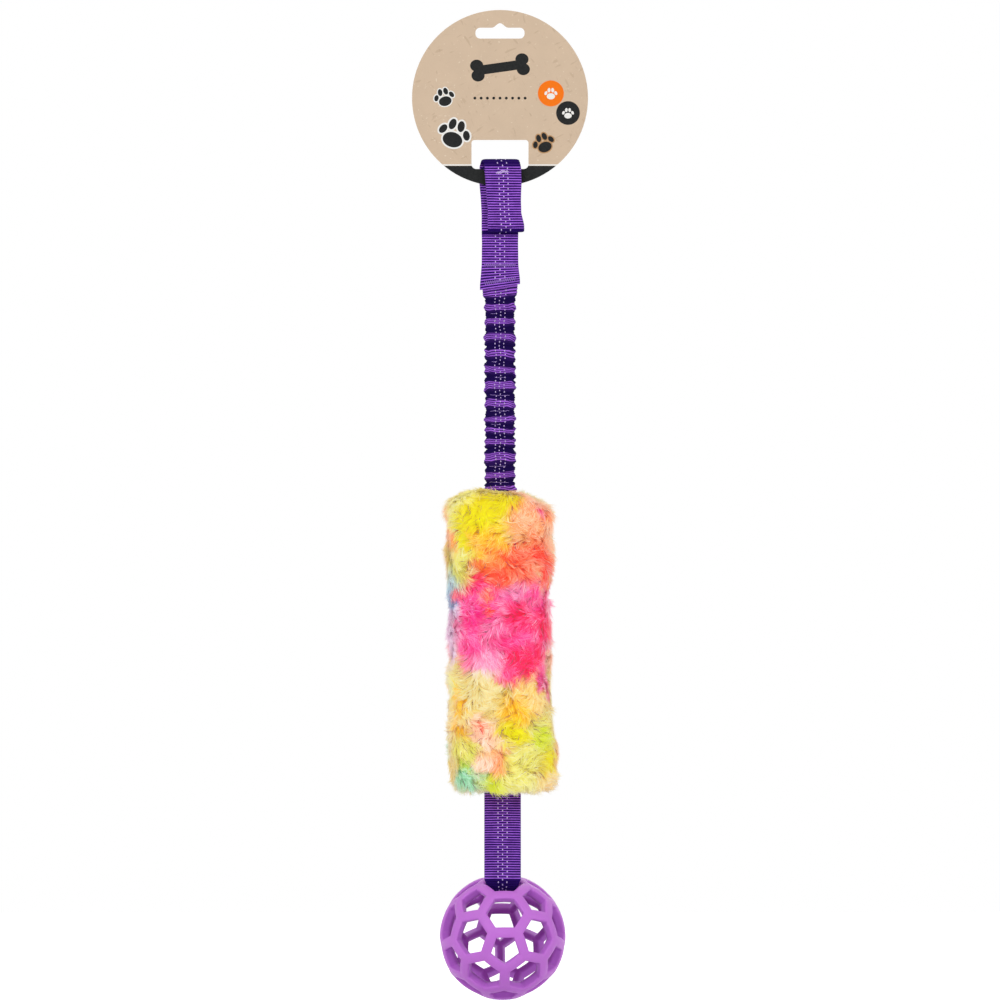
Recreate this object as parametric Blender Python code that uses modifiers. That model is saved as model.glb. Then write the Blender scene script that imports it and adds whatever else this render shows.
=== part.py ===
"""A dog tug toy on its header card, hanging from the card's slot.

Metres, +Z up, +X to the right and the front at -Y. The origin is the crown of the card's slot,
where the peg of a shop display carries it, in the middle of the board's thickness.
"""
import math

import bmesh
import bpy
from mathutils import Matrix, Vector

MM = 0.001

# Clearances
TOUCH = 0.3 * MM
MOUTH_ROOM = 0.6 * MM
STRAP_MOUTH_ROOM = 1.2 * MM
OVERRUN = 6.0 * MM
WELD = 0.01 * MM

# Header card
CARD_RADIUS = 61.6 * MM
BOARD = 0.8 * MM
SLOT_TO_EDGE = 9.2 * MM
SLOT_WIDTH = 34.4 * MM
SLOT_HEIGHT = 7.6 * MM
SLOT_CORNER = 3.3 * MM
SLOT_CROWN_RISE = 3.2 * MM
SLOT_CROWN_WIDTH = 11.6 * MM
SLOT_CROWN_POWER = 2.1
WINDOW_WIDTH = 39.9 * MM
WINDOW_HEIGHT = 20.3 * MM
WINDOW_TOP_CORNER = 2.1 * MM
WINDOW_LOWER_CORNER = 3.4 * MM
BAND_HEIGHT = 11.9 * MM

# Webbing, shared by the handle and the ball's strap
WEBBING_WIDTH = 25.2 * MM
WEBBING = 1.6 * MM

# Handle loop
HANDLE_CARD_ROOM = 1.8 * MM
HANDLE_CROWN_RISE = 7.0 * MM
HANDLE_DROP = 82.6 * MM
FLAP_DROP = 43.6 * MM
FLAP_EYE_RADIUS = 2.0 * MM
FLAP_SWAY_HEIGHT = 14.0 * MM
BACK_PLY_SKEW = 1.6 * MM
FLAP_SHIFT = 3.6 * MM
FLAP_SKEW = 2.2 * MM
SEAM_GRIP = 18.0 * MM
SEAM_FLARE = 1.2 * MM
SEAM_TILT_SHARE = 0.15
BARTACK_WIDTH = 21.0 * MM
BARTACK_HEIGHT = 2.6 * MM
BARTACK_RELIEF = 0.6 * MM
BARTACK_RIDGE = 0.2 * MM
BARTACK_STITCH = 1.5 * MM
BARTACK_END_INSET = 1.6 * MM

# Bungee
ELASTIC_WIDTH = 16.4 * MM
ELASTIC = 2.0 * MM
SLEEVE_LENGTH = 145.0 * MM
SLEEVE_WALL = 0.8 * MM
SLEEVE_PUFF_WIDTH = 21.8 * MM
SLEEVE_FOLD_WIDTH = 19.2 * MM
SLEEVE_PUFF_DEPTH = 10.2 * MM
SLEEVE_FOLD_DEPTH = 7.0 * MM
SLEEVE_NECK_DEPTH = 5.0 * MM
SLEEVE_NECK_POWER = 3.4
SLEEVE_POWER = 2.8
SLEEVE_TUCK = 3.2 * MM
SLEEVE_FOLD_SHARES = (
    0.046, 0.114, 0.187, 0.275, 0.348, 0.421, 0.513,
    0.591, 0.655, 0.708, 0.762, 0.859, 0.937, 1.0,
)
SLEEVE_LEAN_SHARES = (0.03, -0.04, 0.02, 0.05, -0.03, 0.04, -0.02, -0.05, 0.03, 0.02, -0.04, 0.03, 0.0)

# Plush tube
PLUSH_LENGTH = 211.4 * MM
PLUSH_WIDTH = 75.6 * MM
PLUSH_DEPTH = 58.0 * MM
COVER_WALL = 5.0 * MM
PLUSH_MOUTH_DIP = 3.0 * MM
PLUSH_HEIGHT_SHARES = (0.0, 0.012, 0.04, 0.1, 0.2, 0.35, 0.5, 0.65, 0.77, 0.85, 0.93, 0.972, 0.993, 1.0)
PLUSH_GIRTH_SHARES = (0.62, 0.86, 0.98, 1.03, 0.99, 0.96, 0.965, 0.985, 1.03, 1.05, 1.02, 0.98, 0.88, 0.66)
PLUSH_POWER = 2.4
STRAP_MOUTH_POWER = 4.0

# Ball and its strap
BALL_X = 1.8 * MM
BALL_DROP = 101.5 * MM
BALL_RADIUS = 44.1 * MM
BALL_WALL = 7.2 * MM
STRUT_WIDTH = 8.2 * MM
STRUT_CROWN = 0.5 * MM
STRUT_ROUND = 1.3 * MM
STRUT_RIDGE = 1.0 * MM
STRUT_INNER_SHARE = 0.5
BALL_FACE_TILT = math.radians(-10.7)
BALL_FACE_TURN = math.radians(2.5)
BALL_CORNER_ANGLES = tuple(math.radians(angle) for angle in (20.0, 42.0, 56.5, 79.0, 90.0))
RING_STRUT_SHARE = 0.8
STRAP_THROAT_WIDTH = 14.4 * MM
STRAP_ENTRY_WIDTH = 22.2 * MM
STRAP_ENTRY_LEVEL = 39.4 * MM
STRAP_ENTRY_RISE = 2.6 * MM
STRAP_EXIT_RADIUS = 15.0 * MM
STRAP_FRONT_RADIUS = 9.0 * MM
STRAP_FRONT_PLACE = 12.0 * MM
STRAP_BACK_RADIUS = 5.0 * MM
STRAP_BACK_PLACE = 7.0 * MM
STRAP_MEETING_PLACE = 9.5 * MM
STRAP_OVERLAP = 18.0 * MM
STRAP_FUNNEL = 16.0 * MM

# Colours, as linear red, green and blue
KRAFT = (0.66, 0.50, 0.36)
VIOLET = (0.16, 0.04, 0.42)
DARK_VIOLET = (0.07, 0.01, 0.23)
THREAD = (0.30, 0.16, 0.52)
ELASTIC_WHITE = (0.78, 0.77, 0.74)
FUR_YELLOW = (0.86, 0.62, 0.25)
WADDING_WHITE = (0.86, 0.86, 0.84)
ORCHID = (0.53, 0.16, 0.67)

# Levels that follow from the sizes above
SLOT_TOP = -SLOT_CROWN_RISE
CARD_CENTRE = SLOT_TO_EDGE - CARD_RADIUS
BAND_TOP = CARD_CENTRE - CARD_RADIUS + BAND_HEIGHT
HANDLE_END = BAND_TOP - HANDLE_DROP
SLEEVE_TOP = HANDLE_END - TOUCH
SLEEVE_BOTTOM = SLEEVE_TOP - SLEEVE_LENGTH
PLUSH_TOP = SLEEVE_BOTTOM + SLEEVE_TUCK
PLUSH_BOTTOM = PLUSH_TOP - PLUSH_LENGTH
BALL_CENTRE = PLUSH_BOTTOM - BALL_DROP
BUNGEE_HINGE = HANDLE_END - TOUCH / 2
BALL_HINGE = BALL_CENTRE + BALL_RADIUS - BALL_WALL / 2
GRIP_OFFSET = ELASTIC / 2 + TOUCH + WEBBING / 2
PLY_STEP = WEBBING + TOUCH


def material(name, colour, roughness):
    """A material of one colour."""
    made = bpy.data.materials.new(name)
    made.use_nodes = True
    shader = made.node_tree.nodes["Principled BSDF"]
    shader.inputs["Base Color"].default_value = (*colour, 1.0)
    shader.inputs["Roughness"].default_value = roughness
    shader.inputs["Metallic"].default_value = 0.0
    return made


def add_object(name, data, finish, collection):
    """A named object with its material, in its collection."""
    made = bpy.data.objects.new(name, data)
    made.data.materials.append(finish)
    collection.objects.link(made)
    return made


def finish_mesh(bm, name, smooth=True, sharp=math.radians(50)):
    """The mesh of a bmesh, with its round faces shaded smooth."""
    mesh = bpy.data.meshes.new(name)
    bm.to_mesh(mesh)
    bm.free()
    if smooth:
        mesh.shade_smooth()
        mesh.set_sharp_from_angle(angle=sharp)
    return mesh


def add_solidify(owner, thickness, offset):
    """Gives an open surface its thickness; offset 0 spreads it to both sides and -1 inwards."""
    wall = owner.modifiers.new("Wall", "SOLIDIFY")
    wall.thickness = thickness
    wall.offset = offset
    wall.use_even_offset = True
    return wall


def smoothstep(value):
    """Eases a value between 0 and 1, and holds it there beyond them."""
    held = min(max(value, 0.0), 1.0)
    return held * held * (3 - 2 * held)


class Route:
    """The middle line of a strap in the YZ plane, laid as runs and bends, with its sideways drift."""

    def __init__(self, x, y, z, heading):
        self.x = x
        self.y = y
        self.z = z
        self.heading = heading
        self.stations = [(x, y, z)]

    def _step(self, y, z, drift):
        self.x += drift
        self.y = y
        self.z = z
        self.stations.append((self.x, y, z))

    def run(self, length, steps=1, drift=0.0):
        """A straight stretch along the heading, which is an angle from +Y towards +Z."""
        for _ in range(steps):
            y = self.y + length / steps * math.cos(self.heading)
            z = self.z + length / steps * math.sin(self.heading)
            self._step(y, z, drift / steps)

    def bend(self, radius, angle, steps, drift=0.0):
        """An arc; a positive angle turns from +Y towards +Z."""
        side = math.copysign(1.0, angle)
        centre_y = self.y - side * radius * math.sin(self.heading)
        centre_z = self.z + side * radius * math.cos(self.heading)
        for _ in range(steps):
            self.heading += angle / steps
            y = centre_y + side * radius * math.sin(self.heading)
            z = centre_z - side * radius * math.cos(self.heading)
            self._step(y, z, drift / steps)

    def sway(self, shift, rise, steps, drift=0.0):
        """Two opposite arcs that move the line sideways by shift while it goes on by rise."""
        angle = 2 * math.atan2(shift, rise)
        radius = rise / (2 * math.sin(abs(angle)))
        self.bend(radius, angle, steps, drift / 2)
        self.bend(radius, -angle, steps, drift / 2)


def ribbon(name, stations, widths, thickness, finish, collection, tilts=None, across=2):
    """A strap along stations, as wide as widths say, with its ends cut at a slant by tilts."""
    bm = bmesh.new()
    bmesh.ops.create_grid(bm, x_segments=across, y_segments=len(stations) - 1, size=1.0)
    rows = len(stations) - 1
    for vert in bm.verts:
        column = (vert.co.x + 1.0) / 2.0
        row = round((vert.co.y + 1.0) / 2.0 * rows)
        x, y, z = stations[row]
        side = (column - 0.5) * widths[row]
        tilt = tilts[row] if tilts else 0.0
        vert.co = Vector((x + side, y, z + tilt * side))
    made = add_object(name, finish_mesh(bm, name), finish, collection)
    add_solidify(made, thickness, 0.0)
    return made


def superellipse(angle, half_width, half_depth, power):
    """A point on a rounded section between an ellipse at power 2 and a box at high powers."""
    cos, sin = math.cos(angle), math.sin(angle)
    x = half_width * math.copysign(abs(cos) ** (2.0 / power), cos)
    y = half_depth * math.copysign(abs(sin) ** (2.0 / power), sin)
    return x, y


def loft(name, rings, around, capped=False):
    """A tube through rings of (x, z, half width, half depth, tilt, power), from top to bottom."""
    bm = bmesh.new()
    bmesh.ops.create_grid(bm, x_segments=around, y_segments=len(rings) - 1, size=1.0)
    rows = len(rings) - 1
    for vert in bm.verts:
        angle = math.pi * (vert.co.x + 1.0)
        x, z, half_width, half_depth, tilt, power = rings[round((1.0 - vert.co.y) / 2.0 * rows)]
        side, depth = superellipse(angle, half_width, half_depth, power)
        vert.co = Vector((x + side, depth, z + tilt * side))
    bmesh.ops.remove_doubles(bm, verts=bm.verts, dist=WELD)
    if capped:
        bmesh.ops.holes_fill(bm, edges=[edge for edge in bm.edges if edge.is_boundary])
    bmesh.ops.recalc_face_normals(bm, faces=bm.faces)
    return finish_mesh(bm, name)


def arc(x, z, radius, start, end, steps):
    """Points along an arc, with start and end in degrees."""
    angles = (math.radians(start + (end - start) * step / steps) for step in range(steps + 1))
    return [(x + radius * math.cos(angle), z + radius * math.sin(angle)) for angle in angles]


def rounded_box(half_width, bottom, top, low_corner, high_corner, crown=()):
    """The outline of a box with rounded corners, with the points of crown on its top side."""
    points = arc(-half_width + low_corner, bottom + low_corner, low_corner, 180, 270, 6)
    points += arc(half_width - low_corner, bottom + low_corner, low_corner, 270, 360, 6)
    points += arc(half_width - high_corner, top - high_corner, high_corner, 0, 90, 6)
    points += list(crown)
    points += arc(-half_width + high_corner, top - high_corner, high_corner, 90, 180, 6)
    return points


def slot_crown(steps=12):
    """The bell-shaped rise in the middle of the slot's top side, from right to left."""
    points = []
    for step in range(steps + 1):
        place = 0.5 - step / steps
        rise = SLOT_CROWN_RISE * abs(math.cos(math.pi * place)) ** SLOT_CROWN_POWER
        points.append((place * SLOT_CROWN_WIDTH, SLOT_TOP + rise))
    return points


def header_card(collection):
    """The round board, with its hanging slot and the window above the band that the handle wraps."""
    rim = arc(0.0, CARD_CENTRE, CARD_RADIUS, 0, 360, 96)[:-1]
    slot = rounded_box(
        SLOT_WIDTH / 2, SLOT_TOP - SLOT_HEIGHT, SLOT_TOP, SLOT_CORNER, SLOT_CORNER, slot_crown()
    )
    window = rounded_box(
        WINDOW_WIDTH / 2, BAND_TOP, BAND_TOP + WINDOW_HEIGHT, WINDOW_LOWER_CORNER, WINDOW_TOP_CORNER
    )
    outline = bpy.data.curves.new("card_outline", "CURVE")
    outline.dimensions = "2D"
    outline.fill_mode = "BOTH"
    outline.extrude = BOARD / 2
    for points in (rim, slot, window):
        spline = outline.splines.new("POLY")
        spline.points.add(len(points) - 1)
        for place, (x, z) in zip(spline.points, points):
            place.co = (x, z, 0.0, 1.0)
        spline.use_cyclic_u = True
    guide = bpy.data.objects.new("card_outline", outline)
    guide.rotation_euler = (math.pi / 2, 0.0, 0.0)
    collection.objects.link(guide)
    bpy.context.view_layer.update()
    evaluated = guide.evaluated_get(bpy.context.evaluated_depsgraph_get())
    mesh = bpy.data.meshes.new_from_object(evaluated)
    bm = bmesh.new()
    bm.from_mesh(mesh)
    bmesh.ops.remove_doubles(bm, verts=bm.verts, dist=WELD)
    bm.to_mesh(mesh)
    bm.free()
    card = add_object("header_card", mesh, material("kraft_board", KRAFT, 0.85), collection)
    card.matrix_world = guide.matrix_world.copy()
    bpy.data.objects.remove(guide)
    return card


def handle_stations():
    """The handle's middle line: up behind the card, over the band, down to the flap's eye and back."""
    inner = BOARD / 2 + HANDLE_CARD_ROOM + WEBBING / 2
    outer = inner + PLY_STEP
    below_card = BAND_TOP - BAND_HEIGHT - OVERRUN
    sway = below_card - (HANDLE_END + SEAM_GRIP)
    outer_centre = BAND_TOP + HANDLE_CROWN_RISE - WEBBING / 2 - outer
    inner_centre = BAND_TOP + TOUCH + WEBBING / 2 - inner
    eye_y = -inner - 2 * FLAP_EYE_RADIUS
    eye_z = BAND_TOP - FLAP_DROP + WEBBING / 2 + FLAP_EYE_RADIUS
    line = Route(0.0, GRIP_OFFSET, HANDLE_END, math.pi / 2)
    line.run(SEAM_GRIP, 4)
    line.sway(GRIP_OFFSET - outer, sway, 5)
    line.run(outer_centre - below_card, 4, -BACK_PLY_SKEW)
    line.bend(outer, math.pi, 14, FLAP_SHIFT)
    line.run(outer_centre - eye_z - FLAP_SWAY_HEIGHT, 6, FLAP_SKEW)
    line.sway(eye_y + outer, FLAP_SWAY_HEIGHT, 4)
    line.bend(FLAP_EYE_RADIUS, math.pi, 10)
    line.run(FLAP_SWAY_HEIGHT, 4)
    line.run(inner_centre - eye_z - FLAP_SWAY_HEIGHT, 6, -FLAP_SKEW)
    line.bend(inner, -math.pi, 10, -FLAP_SHIFT)
    line.run(inner_centre - below_card, 4, BACK_PLY_SKEW)
    line.sway(-inner - GRIP_OFFSET, sway, 5)
    line.run(SEAM_GRIP, 4)
    return line.stations


def handle_loop(collection, webbing):
    """The doubled webbing of the handle, folded over the card's band with its end hanging in front."""
    stations = handle_stations()
    widths, tilts = [], []
    for _, _, z in stations:
        near_end = smoothstep(1.0 - (z - HANDLE_END) / SEAM_GRIP)
        widths.append(WEBBING_WIDTH + 2 * SEAM_FLARE * near_end)
        tilts.append(SEAM_TILT_SHARE * near_end)
    return ribbon("handle_loop", stations, widths, WEBBING, webbing, collection, tilts)


def bartack(name, z, tilt, thread, collection):
    """A bar of close stitches on the front ply, each stitch a low ridge."""
    count = round(BARTACK_WIDTH / BARTACK_STITCH)
    front = -GRIP_OFFSET - WEBBING / 2 - TOUCH
    bm = bmesh.new()
    bmesh.ops.create_cube(bm, size=1.0)
    along = [edge for edge in bm.edges if abs(edge.verts[0].co.x - edge.verts[1].co.x) > 0.5]
    bmesh.ops.subdivide_edges(bm, edges=along, cuts=2 * count - 1, use_grid_fill=True)
    for vert in bm.verts:
        share = vert.co.x + 0.5
        ridge = BARTACK_RIDGE * (round(share * 2 * count) % 2)
        depth = front - (0.5 - vert.co.y) * (BARTACK_RELIEF + ridge)
        side = vert.co.x * BARTACK_WIDTH
        height = vert.co.z * (BARTACK_HEIGHT + ridge)
        vert.co = Vector((side, depth, z + height + tilt * side))
    return add_object(name, finish_mesh(bm, name, smooth=False), thread, collection)


def bungee_elastic(collection):
    """The flat elastic, gripped by the handle's plies above and the strap's plies in the plush."""
    top = HANDLE_END + SEAM_GRIP - TOUCH
    bottom = PLUSH_TOP - COVER_WALL - PLUSH_MOUTH_DIP - STRAP_OVERLAP
    line = Route(0.0, 0.0, bottom, math.pi / 2)
    line.run(top - bottom, 12)
    widths = [ELASTIC_WIDTH] * len(line.stations)
    finish = material("elastic", ELASTIC_WHITE, 0.8)
    return ribbon("bungee_elastic", line.stations, widths, ELASTIC, finish, collection)


def sleeve_rings(steps=5):
    """The sleeve's sections: a flat neck, then one puff between each two folds."""
    neck = (
        0.0, SLEEVE_TOP, SLEEVE_FOLD_WIDTH / 2 + SEAM_FLARE / 2, SLEEVE_NECK_DEPTH / 2,
        SEAM_TILT_SHARE, SLEEVE_NECK_POWER,
    )
    rings = [neck]
    spans = zip(SLEEVE_FOLD_SHARES, SLEEVE_FOLD_SHARES[1:], SLEEVE_LEAN_SHARES)
    for start, end, lean in spans:
        for step in range(steps):
            share = step / steps
            puff = math.sqrt(1.0 - (2.0 * share - 1.0) ** 2)
            z = SLEEVE_TOP - SLEEVE_LENGTH * (start + (end - start) * share)
            width = SLEEVE_FOLD_WIDTH + (SLEEVE_PUFF_WIDTH - SLEEVE_FOLD_WIDTH) * puff
            depth = SLEEVE_FOLD_DEPTH + (SLEEVE_PUFF_DEPTH - SLEEVE_FOLD_DEPTH) * puff
            rings.append((0.0, z, width / 2, depth / 2, lean * puff, SLEEVE_POWER))
    rings.append((0.0, SLEEVE_BOTTOM, SLEEVE_FOLD_WIDTH / 2, SLEEVE_FOLD_DEPTH / 2, 0.0, SLEEVE_POWER))
    return rings


def bungee_sleeve(collection):
    """The tubular webbing, gathered in puffs along the elastic."""
    mesh = loft("bungee_sleeve", sleeve_rings(), 16)
    finish = material("gathered_webbing", DARK_VIOLET, 0.7)
    sleeve = add_object("bungee_sleeve", mesh, finish, collection)
    add_solidify(sleeve, SLEEVE_WALL, -1.0)
    return sleeve


def plush_rings(end_inset, side_inset):
    """The plush tube's sections, from its shoulders down to its lower edge, set in at ends and sides."""
    rings = []
    for height, girth in zip(PLUSH_HEIGHT_SHARES, PLUSH_GIRTH_SHARES):
        z = PLUSH_TOP - end_inset - (PLUSH_LENGTH - 2 * end_inset) * height
        half_width = PLUSH_WIDTH / 2 * girth - side_inset
        half_depth = PLUSH_DEPTH / 2 * girth - side_inset
        rings.append((0.0, z, half_width, half_depth, 0.0, PLUSH_POWER))
    return rings


def plush_cover(collection):
    """The fur fabric tube, drawn in at both ends to a mouth for the webbing."""
    sleeve_mouth = (
        0.0, PLUSH_TOP - PLUSH_MOUTH_DIP, SLEEVE_PUFF_WIDTH / 2 + MOUTH_ROOM,
        SLEEVE_PUFF_DEPTH / 2 + MOUTH_ROOM, 0.0, SLEEVE_POWER,
    )
    strap_mouth = (
        BALL_X, PLUSH_BOTTOM + PLUSH_MOUTH_DIP, WEBBING_WIDTH / 2 + STRAP_MOUTH_ROOM,
        PLY_STEP + WEBBING / 2 + TOUCH, 0.0, STRAP_MOUTH_POWER,
    )
    mesh = loft("plush_cover", [sleeve_mouth, *plush_rings(0.0, 0.0), strap_mouth], 24)
    cover = add_object("plush_cover", mesh, material("fur_fabric", FUR_YELLOW, 0.95), collection)
    add_solidify(cover, COVER_WALL, -1.0)
    return cover


def plush_wadding(collection, cutters):
    """The stuffing, with a slot for the doubled strap that runs through it."""
    rings = plush_rings(COVER_WALL + PLUSH_MOUTH_DIP + TOUCH, COVER_WALL + MOUTH_ROOM)
    mesh = loft("plush_wadding", rings, 20, capped=True)
    wadding = add_object("plush_wadding", mesh, material("wadding", WADDING_WHITE, 0.95), collection)
    slot_width = WEBBING_WIDTH + 2 * BALL_X + 2 * TOUCH
    slot_depth = 2 * (GRIP_OFFSET + WEBBING / 2 + TOUCH)
    bm = bmesh.new()
    bmesh.ops.create_cube(bm, size=1.0)
    scale = Vector((slot_width, slot_depth, PLUSH_LENGTH + 2 * OVERRUN))
    bmesh.ops.scale(bm, vec=scale, verts=bm.verts)
    cutter = bpy.data.objects.new("wadding_slot", finish_mesh(bm, "wadding_slot", smooth=False))
    cutter.location = (0.0, 0.0, (PLUSH_TOP + PLUSH_BOTTOM) / 2)
    cutter.hide_render = True
    cutter.display_type = "WIRE"
    cutters.objects.link(cutter)
    cut = wadding.modifiers.new("Strap slot", "BOOLEAN")
    cut.operation = "DIFFERENCE"
    cut.solver = "EXACT"
    cut.object = cutter
    return wadding


def slope_between(from_y, from_z, from_radius, to_y, to_z, to_radius):
    """The slant and length of the straight run that leaves one bend and meets the opposite one."""
    both = from_radius + to_radius
    across = to_y - from_y
    down = from_z - to_z
    length = math.sqrt(across * across + down * down - both * both)
    slant = math.atan2(down, across) - math.atan2(length, both)
    return slant, length


def strap_side(side, place, radius):
    """One side of the ball's strap, from the plush's upper end to under the ball's top strut.

    Both sides lean forward, because the strut is in front of the ball's top. The back side is
    laid out as seen from behind, so its first bend is the other way.
    """
    offset = PLY_STEP / 2
    top = PLUSH_TOP - COVER_WALL - PLUSH_MOUTH_DIP
    hollow = BALL_RADIUS - BALL_WALL - STRUT_RIDGE
    strut_y = hollow * math.sin(BALL_FACE_TILT)
    roof = math.sqrt(hollow ** 2 - (STRAP_THROAT_WIDTH / 2) ** 2 - strut_y ** 2)
    crook = BALL_CENTRE + roof - 2 * TOUCH - WEBBING / 2 + radius
    exit_radius = side * STRAP_EXIT_RADIUS
    slant, length = slope_between(
        -offset - exit_radius, PLUSH_BOTTOM, exit_radius, -side * place, crook, radius
    )
    line = Route(0.0, -GRIP_OFFSET, top, -math.pi / 2)
    line.run(STRAP_OVERLAP + TOUCH, 3)
    line.sway(GRIP_OFFSET - offset, STRAP_OVERLAP, 4)
    line.run(line.z - PLUSH_BOTTOM, 8, BALL_X)
    line.bend(STRAP_EXIT_RADIUS, -slant, 4)
    line.run(length, 8)
    line.bend(radius, math.pi / 2 + slant, 12)
    line.run(side * (place - STRAP_MEETING_PLACE), 2)
    return [(x, side * y, z) for x, y, z in line.stations]


def strap_width(station, front):
    """The webbing fills the front opening, and narrows where it turns in and comes out behind."""
    _, y, z = station
    surface = BALL_CENTRE + BALL_RADIUS
    if front:
        turned = max(0.0, min(1.0, (-y - STRAP_FRONT_PLACE) / STRAP_FRONT_RADIUS))
        inside = STRAP_THROAT_WIDTH + (STRAP_ENTRY_WIDTH - STRAP_THROAT_WIDTH) * turned
        outside = smoothstep((z - BALL_CENTRE - STRAP_ENTRY_LEVEL) / STRAP_ENTRY_RISE)
        return inside + (WEBBING_WIDTH - inside) * outside
    return STRAP_THROAT_WIDTH + (WEBBING_WIDTH - STRAP_THROAT_WIDTH) * smoothstep((z - surface) / STRAP_FUNNEL)


def ball_strap(collection, webbing):
    """The webbing that runs through the plush and round the ball's top strut, as one long loop."""
    front = strap_side(1.0, STRAP_FRONT_PLACE, STRAP_FRONT_RADIUS)
    back = strap_side(-1.0, STRAP_BACK_PLACE, STRAP_BACK_RADIUS)
    stations = front + back[-2::-1]
    widths = [strap_width(station, True) for station in front]
    widths += [strap_width(station, False) for station in back[-2::-1]]
    return ribbon("ball_strap", stations, widths, WEBBING, webbing, collection)


def face_turn(bm):
    """The turn that brings one five-sided face to the front, with its neighbour face above it."""
    pentagon = next(face for face in bm.faces if len(face.verts) == 5)
    near = max(
        (face for face in bm.faces if len(face.verts) == 6),
        key=lambda face: face.calc_center_median().dot(pentagon.calc_center_median()),
    )
    forward = pentagon.calc_center_median().normalized()
    towards = near.calc_center_median()
    up = (towards - forward * towards.dot(forward)).normalized()
    return Matrix((up.cross(forward), -forward, up)).to_4x4()


def settle(place):
    """The place of a corner on the sphere: the front half's corners lie at five angles from its axis."""
    fifth = 2 * math.pi / 5
    polar = math.acos(max(-1.0, min(1.0, -place.y / place.length)))
    polar = min(BALL_CORNER_ANGLES, key=lambda angle: abs(angle - polar))
    around = math.atan2(place.x, place.z)
    if abs(place.y) < WELD:
        middle = round(around / fifth) * fifth
        around = middle + (around - middle) * RING_STRUT_SHARE
    out = math.sin(polar)
    return BALL_RADIUS * Vector((out * math.sin(around), -math.cos(polar), out * math.cos(around)))


def lattice_cage():
    """The middle lines of the struts: half a truncated icosahedron, a ring, and the half mirrored."""
    bm = bmesh.new()
    bmesh.ops.create_icosphere(bm, subdivisions=1, radius=BALL_RADIUS)
    third = bm.edges[:][0].calc_length() / 3
    bmesh.ops.bevel(
        bm, geom=bm.verts[:], offset=third, offset_type="OFFSET", affect="VERTICES",
        segments=1, profile=0.5,
    )
    bmesh.ops.remove_doubles(bm, verts=bm.verts, dist=WELD)
    bm.transform(face_turn(bm))
    whole = bm.verts[:] + bm.edges[:] + bm.faces[:]
    bmesh.ops.bisect_plane(bm, geom=whole, plane_co=(0, 0, 0), plane_no=(0, 1, 0), clear_outer=True)
    for vert in bm.verts:
        vert.co = settle(vert.co)
    half = bm.verts[:] + bm.edges[:] + bm.faces[:]
    bmesh.ops.mirror(bm, geom=half, axis="Y", merge_dist=WELD)
    joined = [
        edge for edge in bm.edges
        if all(abs(vert.co.y) < WELD for vert in edge.verts)
        and all(len(face.verts) == 4 for face in edge.link_faces)
    ]
    bmesh.ops.dissolve_edges(bm, edges=joined, use_verts=False)
    bmesh.ops.recalc_face_normals(bm, faces=bm.faces[:])
    tilt = Matrix.Rotation(-BALL_FACE_TILT, 4, "X")
    bm.transform(Matrix.Rotation(BALL_FACE_TURN, 4, "Z") @ tilt)
    bm.normal_update()
    return bm


def lattice_sheet(cuts=1):
    """The struts as a sheet on the ball's sphere."""
    bm = lattice_cage()
    marks = bm.edges.layers.int.new("centre_line")
    for edge in bm.edges:
        edge[marks] = 1
    faces = bm.faces[:]
    bmesh.ops.inset_individual(bm, faces=faces, thickness=STRUT_WIDTH / 2, use_even_offset=True)
    bmesh.ops.delete(bm, geom=faces, context="FACES_ONLY")
    lengthwise = [edge for edge in bm.edges if edge.is_boundary or edge[marks]]
    bmesh.ops.subdivide_edges(bm, edges=lengthwise, cuts=cuts, use_grid_fill=True)
    for vert in bm.verts:
        vert.co = vert.co.normalized() * BALL_RADIUS
    bm.normal_update()
    return bm


def lattice_ball(collection):
    """The hollow rubber ball: crowned struts with rounded rims, narrower inside and ridged there."""
    bm = lattice_sheet()
    bmesh.ops.solidify(bm, geom=bm.faces[:], thickness=BALL_WALL)
    inner = {vert for vert in bm.verts if vert.co.length < BALL_RADIUS - BALL_WALL / 2}
    rim_edges = [edge for edge in bm.edges if len(inner.intersection(edge.verts)) == 1]
    rim = {vert for edge in rim_edges for vert in edge.verts}
    for vert in bm.verts:
        radius = BALL_RADIUS - BALL_WALL if vert in inner else BALL_RADIUS
        vert.co = vert.co.normalized() * radius
    for vert in rim:
        radius = BALL_RADIUS - STRUT_CROWN
        if vert in inner:
            middle = next(
                edge.other_vert(vert) for edge in vert.link_edges
                if edge.other_vert(vert) in inner and edge.other_vert(vert) not in rim
            )
            vert.co = middle.co.lerp(vert.co, STRUT_INNER_SHARE)
            radius = BALL_RADIUS - BALL_WALL
        vert.co = vert.co.normalized() * radius
    for vert in inner - rim:
        vert.co = vert.co.normalized() * (BALL_RADIUS - BALL_WALL - STRUT_RIDGE)
    weights = bm.edges.layers.float.new("bevel_weight_edge")
    for edge in bm.edges:
        both_inner = len(inner.intersection(edge.verts)) != 1
        if both_inner and rim.issuperset(edge.verts):
            edge[weights] = 1.0
    ball = add_object(
        "lattice_ball", finish_mesh(bm, "lattice_ball"), material("orchid_rubber", ORCHID, 0.55), collection
    )
    ball.location = (BALL_X, 0.0, BALL_CENTRE)
    rounding = ball.modifiers.new("Rim rounding", "BEVEL")
    rounding.limit_method = "WEIGHT"
    rounding.width = STRUT_ROUND
    rounding.segments = 2
    return ball


def carry(name, x, z, pieces, parent, collection):
    """An empty on a joint's axis, which carries the pieces of the body that turns or slides there."""
    pivot = bpy.data.objects.new(name, None)
    pivot.empty_display_size = WEBBING_WIDTH
    pivot.location = (x, 0.0, z)
    collection.objects.link(pivot)
    bpy.context.view_layer.update()
    if parent:
        pivot.parent = parent
        pivot.matrix_parent_inverse = parent.matrix_world.inverted()
    for piece in pieces:
        piece.parent = pivot
        piece.matrix_parent_inverse = pivot.matrix_world.inverted()
    return pivot


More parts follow.
